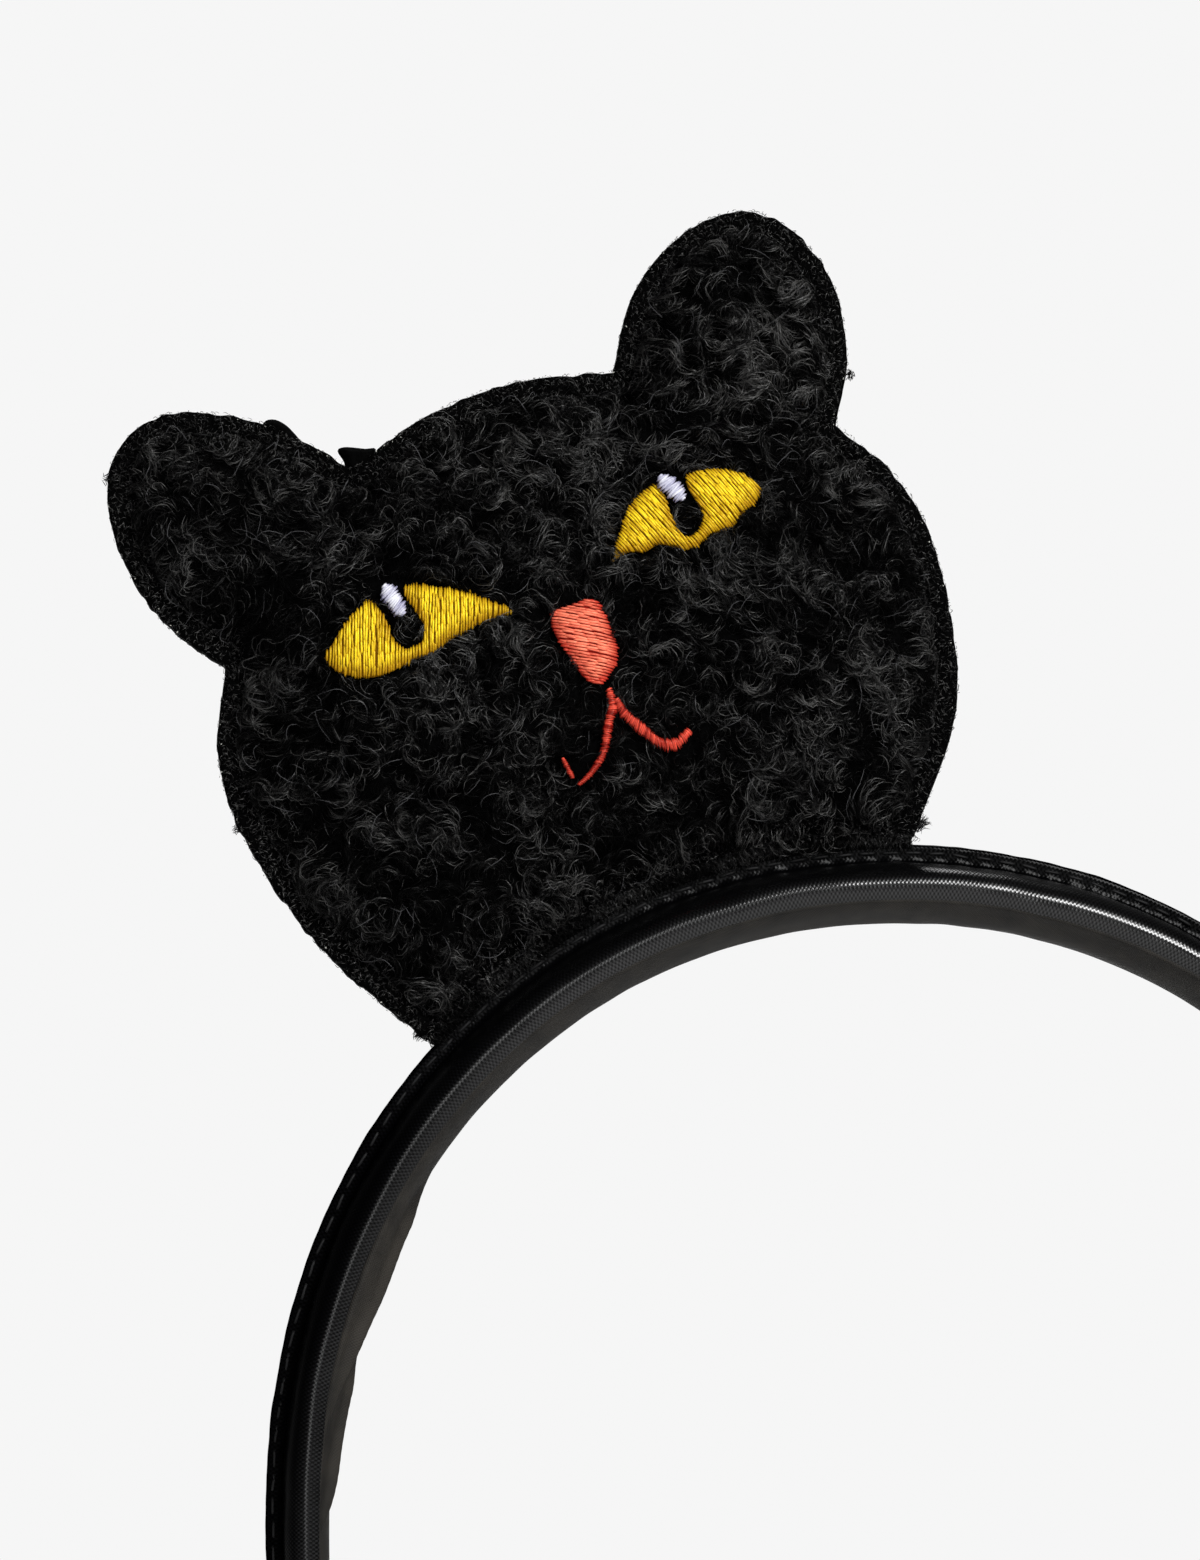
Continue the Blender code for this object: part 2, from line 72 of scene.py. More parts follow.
# --- the head, as in the CAD ---
HEAD_FEET = (-55.2, 1.4)
BASE_GAP = 1.0
SEAM_BORDER = 2.6           # the flat border outside the seam, round the ears and cheeks
BASE_BORDER = 0.7           # along the base, where the stuffed head comes right down to the flange
PUFF, PUFF_SOFTNESS = 6.2, 6.0
LEFT_CHEEK = [(-36.8, 13.8), (-40.0, 27.3), (-39.6, 38.0), (-34.7, 47.9)]
LEFT_EAR = [(-34.7, 47.9), (-39.4, 56.0), (-40.6, 66.0), (-37.6, 74.4), (-30.0, 77.2), (-20.1, 72.1),
            (-12.6, 63.3)]
HEAD_TOP = [(-12.6, 63.3), (-3.5, 65.7), (8.0, 65.7), (19.4, 62.5)]
RIGHT_EAR = [(19.4, 62.5), (25.3, 70.2), (34.0, 74.6), (42.5, 73.3), (46.8, 65.0), (45.6, 55.0),
             (40.8, 47.1)]
RIGHT_CHEEK = [(40.8, 47.1), (45.3, 37.0), (45.0, 25.4), (40.4, 11.5)]
BORDER_HEIGHT = 1.3         # one panel's flat border, from the middle plane
PILE_BED = 1.7              # one panel's pile cloth where it is stuffed

# --- the embroidery, in the head's plane ---
LEFT_EYE = [(-24.3, 43.9), (-21.0, 46.3), (-18.0, 47.7), (-16.9, 47.6), (-16.4, 45.5), (-16.5, 43.0),
            (-15.9, 41.3), (-14.8, 40.9), (-13.6, 41.2), (-12.7, 42.5), (-12.8, 44.2), (-13.2, 47.7),
            (-10.8, 46.9), (-7.7, 45.1), (-5.0, 42.6), (-3.0, 40.4), (-5.6, 40.6), (-8.0, 40.5),
            (-10.6, 40.1), (-13.3, 39.6), (-15.7, 39.6), (-17.9, 39.4), (-19.8, 39.5), (-21.8, 40.4),
            (-23.6, 41.9)]
RIGHT_EYE = [(9.7, 41.4), (11.4, 43.6), (13.6, 46.1), (15.5, 47.2), (17.7, 47.8), (18.2, 46.6), (18.0, 43.6),
             (18.0, 41.6), (18.8, 40.7), (20.2, 41.0), (21.2, 42.2), (21.4, 43.8), (21.1, 46.2), (21.7, 47.4),
             (24.7, 46.9), (27.4, 45.3), (28.8, 43.2), (27.6, 41.6), (25.7, 41.0), (24.1, 40.0), (20.7, 39.9),
             (19.4, 39.4), (17.6, 39.7), (15.5, 41.2), (13.6, 41.0), (12.0, 41.7)]
NOSE = [(0.5, 37.4), (1.3, 38.6), (4.1, 38.5), (6.0, 38.2), (6.5, 35.3), (6.3, 32.6), (5.7, 30.8), (4.5, 29.7),
        (2.7, 29.1), (1.5, 30.6), (1.0, 33.1), (0.5, 35.6)]
LEFT_BAR = ((-15.1, 48.6), (-14.4, 44.8))
RIGHT_BAR = ((18.6, 48.3), (19.9, 44.9))
MOUTH_LEFT = [(3.6, 28.1), (3.2, 26.1), (2.3, 25.0), (1.4, 23.5), (0.6, 22.2), (-0.7, 21.0), (-2.2, 20.1),
              (-3.6, 19.6)]
MOUTH_LEFT_END = [(-4.0, 20.6), (-4.2, 22.9)]
MOUTH_RIGHT = [(3.9, 26.7), (4.1, 25.1), (4.8, 23.6), (5.7, 21.9), (6.5, 20.6), (7.5, 19.8), (8.6, 19.7),
               (10.2, 20.4)]


# --- curves and noise ---
def smooth_stretch(points, per_span=3):
    """A curve through the points, without its last one."""
    knots = np.array([2 * np.array(points[0]) - points[1], *points, 2 * np.array(points[-1]) - points[-2]])
    curve = []
    for before, start, end, after in zip(knots, knots[1:], knots[2:], knots[3:]):
        for t in np.arange(per_span) / per_span:
            curve.append(0.5 * (2 * start + (end - before) * t
                                + (2 * before - 5 * start + 4 * end - after) * t ** 2
                                + (3 * start - before - 3 * end + after) * t ** 3))
    return curve


def smooth_line(points, per_span=6):
    return np.array(smooth_stretch(points, per_span) + [np.array(points[-1], float)])


def run_along(curve):
    """The length along a curve up to each of its points."""
    return np.concatenate(([0.0], np.cumsum(np.linalg.norm(np.diff(curve, axis=0), axis=1))))


def evenly(curve, spacing):
    """The same curve with about even steps, both ends kept."""
    curve = np.asarray(curve, float)
    run = run_along(curve)
    places = np.linspace(0, run[-1], max(2, int(round(run[-1] / spacing)) + 1))
    return np.column_stack([np.interp(places, run, column) for column in curve.T])


def field(seed, wide, high=None):
    """Smooth noise from -1 to 1 over a plane, with cells of that size."""
    size = 64
    lattice = np.random.default_rng(seed).uniform(-1, 1, (size, size))
    high = high or wide

    def value(x, y):
        x, y = np.asarray(x) / wide + 17.3, np.asarray(y) / high + 9.7
        left, low = np.floor(x).astype(int), np.floor(y).astype(int)
        s, t = x - left, y - low
        s, t = s * s * (3 - 2 * s), t * t * (3 - 2 * t)
        at = lambda a, b: lattice[a % size, b % size]
        return ((at(left, low) * (1 - s) + at(left + 1, low) * s) * (1 - t)
                + (at(left, low + 1) * (1 - s) + at(left + 1, low + 1) * s) * t)
    return value


def step_up(low, high, value):
    """From 0 at the first value to 1 at the second, smoothly."""
    t = np.clip((value - low) / (high - low), 0, 1)
    return t * t * (3 - 2 * t)


# --- meshes ---
def mesh_object(name, points, faces, finish, weave=None, tone=None, sharp=50):
    """An object from points in mm and arrays of faces, each array with its own number of corners."""
    mesh = bpy.data.meshes.new(name)
    faces = [np.asarray(array, int) for array in faces if len(array)]
    corners = np.concatenate([array.ravel() for array in faces])
    sizes = np.concatenate([np.full(len(array), array.shape[1]) for array in faces])
    mesh.vertices.add(len(points))
    mesh.vertices.foreach_set("co", (np.asarray(points, float) * MM).astype(np.float32).ravel())
    mesh.loops.add(len(corners))
    mesh.loops.foreach_set("vertex_index", corners.astype(np.int32))
    mesh.polygons.add(len(sizes))
    mesh.polygons.foreach_set("loop_start", np.concatenate(([0], np.cumsum(sizes)[:-1])).astype(np.int32))
    mesh.update(calc_edges=True)
    mesh.shade_smooth()
    if sharp:
        mesh.set_sharp_from_angle(angle=radians(sharp))
    if weave is not None:
        mesh.attributes.new("weave", "FLOAT_VECTOR", "POINT").data.foreach_set(
            "vector", np.column_stack((weave, np.zeros(len(weave)))).astype(np.float32).ravel())
    if tone is not None:
        mesh.attributes.new("tone", "FLOAT", "POINT").data.foreach_set("value", np.asarray(tone, np.float32))
    mesh.materials.append(finish)
    made = bpy.data.objects.new(name, mesh)
    scene.collection.objects.link(made)
    return made


def tubes(lines, radii, sides=3, flat=1.0, up=None):
    """Points and faces of closed tubes along many lines at once: lines (n, k, 3), radii (n, k)."""
    count, steps = lines.shape[:2]
    along = np.gradient(lines, axis=1)
    along /= np.linalg.norm(along, axis=2, keepdims=True) + 1e-9
    up = np.array((0.13, 0.21, 0.97)) if up is None else up
    side = np.cross(along, np.broadcast_to(up, along.shape))
    side /= np.linalg.norm(side, axis=2, keepdims=True) + 1e-9
    over = np.cross(side, along)
    turn = np.arange(sides) / sides * 2 * pi
    ring = (side[:, :, None] * np.cos(turn)[:, None] + over[:, :, None] * np.sin(turn)[:, None] * flat)
    points = (lines[:, :, None] + ring * radii[:, :, None, None]).reshape(-1, 3)
    base = np.arange(count)[:, None, None] * steps * sides
    ring_at = np.arange(steps - 1)[None, :, None] * sides
    corner = np.arange(sides)[None, None, :]
    here, ahead = base + ring_at + corner, base + ring_at + (corner + 1) % sides
    walls = np.stack((here, here + sides, ahead + sides, ahead), axis=-1).reshape(-1, 4)
    first = base[:, 0] + np.arange(sides)
    last = (base[:, 0] + (steps - 1) * sides + np.arange(sides))[:, ::-1]
    return points, [walls, np.vstack((first, last))]


def swept(loops, caps=True):
    """Faces of a closed skin over rings of points: loops (rings, size, 3)."""
    rings, size = loops.shape[:2]
    ring = np.arange(rings - 1)[:, None] * size
    corner = np.arange(size)[None]
    here, ahead = ring + corner, ring + (corner + 1) % size
    walls = np.stack((here, ahead, ahead + size, here + size), axis=-1).reshape(-1, 4)
    ends = np.vstack((np.arange(size)[::-1], (rings - 1) * size + np.arange(size)))
    return [walls, ends] if caps else [walls]


def turned_out(mesh_faces, points):
    """The same faces, turned over if the closed skin faces inwards."""
    volume = 0.0
    for array in mesh_faces:
        for corner in range(1, array.shape[1] - 1):
            a, b, c = points[array[:, 0]], points[array[:, corner]], points[array[:, corner + 1]]
            volume += float((a * np.cross(b, c)).sum())
    return mesh_faces if volume > 0 else [array[:, ::-1] for array in mesh_faces]


# --- materials ---
def add(tree, kind, inputs=(), **settings):
    """A shader node with its settings and inputs: a socket is linked, anything else is its value."""
    node = tree.nodes.new("ShaderNode" + kind)
    for name, value in settings.items():
        setattr(node, name, value)
    for place, value in dict(inputs).items():
        if isinstance(value, bpy.types.NodeSocket):
            tree.links.new(value, node.inputs[place])
        else:
            node.inputs[place].default_value = value
    return node


def maths(tree, operation, *values):
    return add(tree, "Math", enumerate(values), operation=operation).outputs[0]


def plus(tree, first, second):
    return maths(tree, "ADD", first, second)


def times(tree, first, second):
    return maths(tree, "MULTIPLY", first, second)


def mapped(tree, value, low, high, at_low, at_high, **settings):
    """A value that runs between two others while the first one runs from low to high."""
    return add(tree, "MapRange", {0: value, 1: low, 2: high, 3: at_low, 4: at_high}, **settings).outputs[0]


def tone_of(tree):
    return add(tree, "Attribute", attribute_name="tone").outputs["Fac"]


def grey(value):
    return (value, value, value)


def new_material(name, colour, roughness, specular=0.5):
    made = bpy.data.materials.new(name)
    made.use_nodes = True
    shader = made.node_tree.nodes["Principled BSDF"]
    shader.inputs["Base Color"].default_value = (*colour, 1)
    shader.inputs["Roughness"].default_value = roughness
    shader.inputs["Specular IOR Level"].default_value = specular
    return made, made.node_tree, shader


def ramp(tree, factor, *stops):
    """Colours along a factor: each stop is (position, colour)."""
    node = add(tree, "ValToRGB", {0: factor})
    while len(node.color_ramp.elements) < len(stops):
        node.color_ramp.elements.new(0.5)
    for element, (position, colour) in zip(node.color_ramp.elements, stops):
        element.position, element.color = position, (*colour, 1)
    return node.outputs[0]


def coloured(tree, shader, factor, *stops):
    tree.links.new(ramp(tree, factor, *stops), shader.inputs["Base Color"])


def bump(tree, shader, height, strength, distance):
    node = add(tree, "Bump", {"Height": height, "Strength": strength, "Distance": distance})
    tree.links.new(node.outputs[0], shader.inputs["Normal"])


def weave_axes(tree):
    split = add(tree, "SeparateXYZ", {0: add(tree, "Attribute", attribute_name="weave").outputs["Vector"]})
    return split.outputs[0], split.outputs[1]


def wave(tree, across, pitch):
    """From -1 to 1 along a distance in mm."""
    return maths(tree, "SINE", times(tree, across, 2 * pi / pitch))


def object_noise(tree, scale, detail=2.0):
    return add(tree, "TexNoise", {"Vector": add(tree, "TexCoord").outputs["Object"],
                                  "Scale": scale, "Detail": detail}).outputs[0]


def satin_material():
    """Black satin: slanted twill floats that catch the light in rows of dots."""
    made, tree, shader = new_material("black_satin", (0.003, 0.003, 0.0035), 0.25, 0.30)
    pitch, slope = 0.46, 0.58
    along, across = weave_axes(tree)
    slant = plus(tree, along, times(tree, across, slope))
    other = maths(tree, "SUBTRACT", along, times(tree, across, slope))
    dots = times(tree, plus(tree, wave(tree, slant, pitch), wave(tree, other, pitch)), 0.5)
    cloudy = object_noise(tree, 260.0, 3.0)
    height = plus(tree, dots, times(tree, cloudy, 0.7))
    bump(tree, shader, height, 0.20, 0.000045)
    lift = plus(tree, times(tree, dots, 0.5), 0.5)
    coloured(tree, shader, lift, (0.2, grey(0.0003)), (0.9, (0.0014, 0.0014, 0.0018)))
    # The flange is dull. Painted sheen: the gloss is raised all over the crown, and on the legs only next to
    # the cover's hem, to put the highlights where the light falls.
    dull = mapped(tree, across, FLANGE_FROM - 0.6, FLANGE_FROM + 0.3, 1.0, 0.10)
    crown = mapped(tree, maths(tree, "ABSOLUTE", along), 40.0, 66.0, 1.0, 0.0)
    painted_leg_sheen = mapped(tree, across, 2.6, 4.0, 1.2, 0.20)
    painted_sheen = plus(tree, painted_leg_sheen, times(tree, crown, maths(tree, "SUBTRACT", 2.2, painted_leg_sheen)))
    gloss = plus(tree, times(tree, lift, 0.30), 0.09)
    gloss = times(tree, times(tree, gloss, dull), painted_sheen)
    tree.links.new(gloss, shader.inputs["Specular IOR Level"])
    tree.links.new(plus(tree, times(tree, cloudy, 0.12), 0.19), shader.inputs["Roughness"])
    return made


def lining_material():
    """Matt lining cloth in a plain weave, a little brown, with painted light on its fold ridges and painted
    shade in the hollows behind them.
    """
    made, tree, shader = new_material("lining_cloth", (0.016, 0.014, 0.012), 0.7, 0.25)
    pitch = 0.34
    along, across = weave_axes(tree)
    grid = times(tree, wave(tree, along, pitch), wave(tree, across, pitch))
    cloudy = object_noise(tree, 320.0, 4.0)
    height = plus(tree, grid, times(tree, cloudy, 1.2))
    bump(tree, shader, height, 0.5, 0.00005)
    # Painted light and shade: the relief height in the "tone" attribute makes the cloth paler on fold ridges
    # and bulges and darker in the hollows.
    painted_fold_light = times(tree, tone_of(tree), 0.25)
    shade = plus(tree, plus(tree, times(tree, grid, 0.2), cloudy), painted_fold_light)
    coloured(tree, shader, shade, (0.2, (0.0024, 0.0021, 0.0017)), (0.85, (0.023, 0.0200, 0.0158)))
    return made


def pile_bed_material():
    """The ground under the pile: almost black, with the grain of packed fibre roots."""
    made, tree, shader = new_material("pile_ground", grey(0.001), 0.9, 0.03)
    fine, coarse = object_noise(tree, 2600.0, 3.0), object_noise(tree, 420.0, 4.0)
    height = plus(tree, fine, times(tree, coarse, 1.5))
    bump(tree, shader, height, 0.9, 0.00025)
    coloured(tree, shader, fine, (0.35, grey(0.0002)), (0.75, (0.0014, 0.0014, 0.0015)))
    return made


def thread_material(name, dark, bright, roughness=0.38, tint=grey(1.0)):
    """Shiny embroidery thread, with the twist of its plies: its colour runs from dark to bright with the "tone"
    attribute, which holds each stitch's own tone and, on the embroidery, painted shade.
    """
    made, tree, shader = new_material(name, bright, roughness, 0.5)
    shader.inputs["Specular Tint"].default_value = (*tint, 1)
    fine = object_noise(tree, 5200.0, 2.0)
    shade = plus(tree, times(tree, tone_of(tree), 0.75), times(tree, fine, 0.25))
    coloured(tree, shader, shade, (0.1, dark), (0.8, bright))
    bump(tree, shader, fine, 0.5, 0.00006)
    return made


def grainy_material(name, dark, bright, roughness, scale, depth):
    """A plain solid with a mottled, grainy surface: plastic, foam or fibre fill, by its numbers."""
    made, tree, shader = new_material(name, bright, roughness)
    grain = object_noise(tree, scale, 4.0)
    coloured(tree, shader, grain, (0.3, dark), (0.7, bright))
    bump(tree, shader, grain, 0.6, depth)
    return made


SATIN = satin_material()
LINING = lining_material()
PILE_GROUND = pile_bed_material()
SATIN_THREAD = thread_material("black_thread", (0.001, 0.001, 0.0011), (0.009, 0.009, 0.0095), 0.6, grey(0.4))
GOLD = thread_material("gold_thread", (0.34, 0.15, 0.003), (1.0, 0.71, 0.022), 0.28, (1.0, 0.80, 0.16))
# Painted shade: the underlay is a darker copy of the gold thread, for the shade in the gaps between the
# stitches.
GOLD_UNDER_SHADED = thread_material("gold_thread_under_shaded", (0.24, 0.090, 0.002), (0.42, 0.18, 0.004), 0.7,
                             (1.0, 0.7, 0.2))
# The white thread's dark colour is lavender: painted shade, mostly at the glints' left ends.
WHITE = thread_material("white_thread", (0.16, 0.15, 0.32), (0.78, 0.78, 0.85))
CORAL = thread_material("coral_thread", (0.46, 0.012, 0.007), (1.0, 0.25, 0.145), 0.30, (1.0, 0.50, 0.36))
# Painted shade: the underlay is a darker copy of the coral thread, for the shade in the gaps between the
# stitches.
CORAL_UNDER_SHADED = thread_material("coral_thread_under_shaded", (0.32, 0.007, 0.005), (0.55, 0.018, 0.011), 0.7,
                              (1.0, 0.3, 0.25))
MOUTH_RED = thread_material("mouth_thread", (0.19, 0.003, 0.002), (0.92, 0.10, 0.058), 0.30, (1.0, 0.45, 0.35))
PLASTIC = grainy_material("core_plastic", (0.52, 0.52, 0.50), (0.63, 0.63, 0.61), 0.42, 900.0, 0.00003)
FOAM = grainy_material("padding_foam", (0.62, 0.61, 0.57), (0.78, 0.77, 0.73), 0.95, 1600.0, 0.0003)
WADDING = grainy_material("stuffing_fibre", (0.74, 0.74, 0.72), (0.90, 0.90, 0.89), 0.95, 700.0, 0.0006)
# The pile's fibres, from the darkest to the palest: shade, roughness and gloss.
FIBRES = ((0.0002, 0.5, 0.04), (0.0009, 0.42, 0.15), (0.0085, 0.36, 0.55), (0.062, 0.36, 0.95))
FIBRE_SHADES = [new_material(f"pile_fibre_{index + 1}", (shade, shade * 0.98, shade * 0.93), rough, gloss)[0]
                for index, (shade, rough, gloss) in enumerate(FIBRES)]
STRAY = new_material("pile_fibre_stray", (0.11, 0.11, 0.115), 0.5)[0]
FLECK = new_material("cut_edge_fleck", (0.55, 0.55, 0.50), 0.6)[0]

# --- the camera and the light ---
CAMERA_AT, CAMERA_TO, LENS = (-72.3, -500.0, 67.8), (-34.3, 0.0, 129.8), 102.6
LIT_AT = (0.0, 0.0, 105.0)
LIGHTS = (("key_light", (430.0, -850.0, 640.0), 0.42, 13.0, 1.0),
          ("fill_light", (-180.0, -1000.0, 120.0), 0.5, 2.0, 0.25),
          ("top_light", (0.0, 500.0, 1050.0), 0.5, 2.5, 1.0),
          ("back_light", (0.0, 1150.0, 330.0), 0.7, 9.0, 1.0))


def place(name, data, at, to):
    made = bpy.data.objects.new(name, data)
    made.location = Vector(at) * MM
    made.rotation_euler = (Vector(to) - Vector(at)).to_track_quat("-Z", "Y").to_euler()
    scene.collection.objects.link(made)
    return made


def build_camera():
    data = bpy.data.cameras.new("camera")
    data.lens = LENS
    data.clip_start, data.clip_end = 0.01, 20.0
    scene.camera = place("camera", data, CAMERA_AT, CAMERA_TO)


def build_lights():
    for name, at, size, power, gloss in LIGHTS:
        data = bpy.data.lights.new(name, "AREA")
        data.shape, data.size, data.energy, data.specular_factor = "DISK", size, power, gloss
        place(name, data, at, LIT_AT).visible_camera = False
    world = bpy.data.worlds.new("studio")
    world.use_nodes = True
    tree = world.node_tree
    tree.nodes.clear()
    up = add(tree, "SeparateXYZ", {0: add(tree, "TexCoord").outputs["Generated"]}).outputs[2]
    glow = ramp(tree, plus(tree, times(tree, up, 0.5), 0.5),
                (0.0, grey(0.30)), (0.45, grey(0.16)), (0.56, grey(0.04)), (1.0, grey(0.02)))
    lit = add(tree, "Background", {0: glow, 1: 1.0})
    seen = add(tree, "Background", {0: (*grey(0.921), 1), 1: 1.0})
    mix = add(tree, "MixShader", {0: add(tree, "LightPath").outputs["Is Camera Ray"],
                                  1: lit.outputs[0], 2: seen.outputs[0]})
    tree.links.new(mix.outputs[0], add(tree, "OutputWorld").inputs[0])
    scene.world = world
    scene.view_settings.view_transform = "Standard"


def build_floor():
    """A pale round floor that fades into the backdrop."""
    radius, rings, size = 520.0, 12, 96
    turn = np.arange(size) / size * 2 * pi
    distance = np.linspace(20, radius, rings)
    points = np.stack((distance[:, None] * np.cos(turn), distance[:, None] * np.sin(turn),
                       np.full((rings, size), -0.05)), axis=-1)
    made, tree, shader = new_material("floor", grey(0.86), 0.9, 0.1)
    place_on = add(tree, "NewGeometry").outputs["Position"]
    away = add(tree, "VectorMath", {0: place_on}, operation="LENGTH").outputs[1]
    fade = mapped(tree, away, 0.20, 0.50, 0.0, 1.0, interpolation_type="SMOOTHSTEP")
    mix = add(tree, "MixShader", {0: fade, 1: shader.outputs[0], 2: add(tree, "BsdfTransparent").outputs[0]})
    tree.links.new(mix.outputs[0], tree.nodes["Material Output"].inputs[0])
    faces = [swept(points, caps=False)[0][:, ::-1], np.arange(size)[None]]
    mesh_object("floor", points.reshape(-1, 3), faces, made, sharp=None)


# --- the band ---
def half_spine(count=400):
    turn = np.linspace(0, pi / 2, count)
    power = 2 / CROWN_SQUARENESS
    crown = np.column_stack((HALF_WIDTH * np.sin(turn) ** power,
                             LEG_DROP + CROWN_RISE * np.abs(np.cos(turn)) ** power))
    drop = np.linspace(0, asin(LEG_DROP / LEG_CURL), count)[1:]
    leg = np.column_stack((HALF_WIDTH * np.cos(drop), LEG_DROP - LEG_CURL * np.sin(drop)))
    return np.vstack((crown, leg))


SPINE = half_spine()
ARC = run_along(SPINE)
TIP_AT = ARC[-1]


def spine_point(arc):
    arc = np.asarray(arc, float)
    x, z = np.interp(np.abs(arc), ARC, SPINE[:, 0]), np.interp(np.abs(arc), ARC, SPINE[:, 1])
    return np.stack((np.sign(arc) * x, np.zeros_like(x), z), axis=-1)


def spine_frame(arc):
    """The spine's point at an arc length, its direction there, and the way outwards."""
    near = np.clip(arc, -TIP_AT + 0.5, TIP_AT - 0.5)
    along = spine_point(near + 0.5) - spine_point(near - 0.5)
    along /= np.linalg.norm(along, axis=-1, keepdims=True)
    outwards = np.stack((-along[..., 2], np.zeros_like(along[..., 0]), along[..., 0]), axis=-1)
    return spine_point(arc), along, outwards


def band_scale(arc):
    """How far the section has shrunk on its way to a tip."""
    return 1 - (1 - TIP_SCALE) * (arc / TIP_AT) ** 2


def band_point(arc, depth, lift):
    """Points of the section, for arrays of the same shape."""
    place_at, _, outwards = spine_frame(arc)
    scale = band_scale(arc)[..., None]
    return place_at + scale * (outwards * lift[..., None] + depth[..., None] * np.array((0.0, 1.0, 0.0)))


def dome(half_depth, rise, inner_depth, from_lift=0.0, count=24):
    """The -Y half of the padding's curve, from a lift over its edge to a depth short of its middle."""
    power = 2 / DOME_SQUARENESS
    first = asin((from_lift / rise) ** (1 / power))
    last = asin((1 - (inner_depth / half_depth) ** (2 / power)) ** 0.5)
    return [(-half_depth * cos(turn) ** power, rise * sin(turn) ** power)
            for turn in np.linspace(first, last, count)]


def mirrored(section):
    return [(-depth, lift) for depth, lift in section]


def cover_loop():
    """The front cover: tucked in under the edge, over the dome, and up into one layer of the flange."""
    outer = [(-6.2, -1.1), (-6.5, -1.32), (-6.8, -0.9), (-7.05, -0.2)]
    outer += dome(HALF_DEPTH, DOME_RISE, 1.3, from_lift=0.45)
    outer += [(-0.95, 3.62), (-0.8, 4.1), (-0.78, 4.9), (-0.8, 5.35), (-0.6, 5.6), (-0.35, 5.6), (-0.14, 5.4)]
    inner = [(-0.12, 4.4), (-0.14, 3.35)] + dome(HALF_DEPTH - CLOTH, DOME_RISE - CLOTH, 0.8, count=14)[::-1]
    inner += [(-6.55, -0.55), (-6.2, -0.75)]
    return evenly(outer, SKIN_STEP), evenly(inner, 0.5)


def lining_loop():
    """The lining: a shallow bulge on the inner side, with its edges turned up beside the cover's."""
    depth = np.linspace(-LINING_HALF_DEPTH, LINING_HALF_DEPTH, 60)
    edge = EDGE_LIFT - 0.45
    lift = edge - (LINING_BULGE + edge) * (1 - np.abs(depth / LINING_HALF_DEPTH) ** 2.2)
    outer = np.column_stack((depth, lift))
    tucked = (LINING_HALF_DEPTH - 0.1, EDGE_LIFT - 0.1)
    outer = np.vstack(((-tucked[0], tucked[1]), outer, tucked))
    inner = np.column_stack((0.94 * depth[::-2], lift[::-2] + CLOTH))
    return evenly(outer, SKIN_STEP), inner


def puckers(arc, across, total):
    """How the satin gathers at the flange's stitches and lies in soft shallow folds, for the front cover."""
    to_stitches = total - STITCH_INSET - across
    stitches = -0.10 * np.cos(2 * pi * arc / STITCH_PITCH) * np.exp(-np.abs(to_stitches) / 0.9)
    soft = 0.14 * field(21, 9.0, 3.0)(arc, across) + 0.06 * field(22, 3.2, 5.0)(arc, across)
    pulls = 0.10 * field(23, 2.2, 30.0)(arc, across) * np.exp(-np.abs(to_stitches) / 2.2)
    return stitches + soft + pulls


# The lining's folds: where each starts and ends, as (arc length, distance from the middle), and its height.
LINING_FOLDS = (((-70.0, -1.4), (-93.0, -5.4), 1.25), ((-91.0, -1.4), (-110.0, -5.0), 1.15),
                ((84.0, -1.5), (112.0, -4.8), 0.45), ((60.0, 4.6), (96.0, 0.8), 0.45))


def fold(arc, middle, start, end, height):
    """A fold across the lining from one (arc, middle) place to another: soft in front, steep behind."""
    share = (arc - start[0]) / (end[0] - start[0])
    behind = middle - (start[1] + (end[1] - start[1]) * share)
    profile = np.exp(-((behind + 0.25) / 0.9) ** 2) - 1.4 * np.exp(-((behind - 0.55) / 0.5) ** 2)
    return height * profile * step_up(-0.2, 0.15, share) * step_up(1.3, 0.8, share)


def creases(arc, across, total):
    """Folds of the loose lining, and where its bulge is fuller or pinched along the legs."""
    middle = across - total / 2
    folds = sum(fold(arc, middle, *of_one) for of_one in LINING_FOLDS)
    fuller = 0.95 * np.exp(-((arc + 82) / 8) ** 2) - 1.3 * np.exp(-((arc + 110) / 3.5) ** 2)
    fuller += 0.5 * np.exp(-((arc - 88) / 9) ** 2) - 0.6 * np.exp(-((arc - 104) / 4) ** 2)
    soft = 0.13 * field(31, 14.0, 3.5)(arc, across) + 0.05 * field(32, 3.0, 4.0)(arc, across)
    return (folds + soft + fuller) * np.clip(3.4 - np.abs(middle) / 2.2, 0, 1)


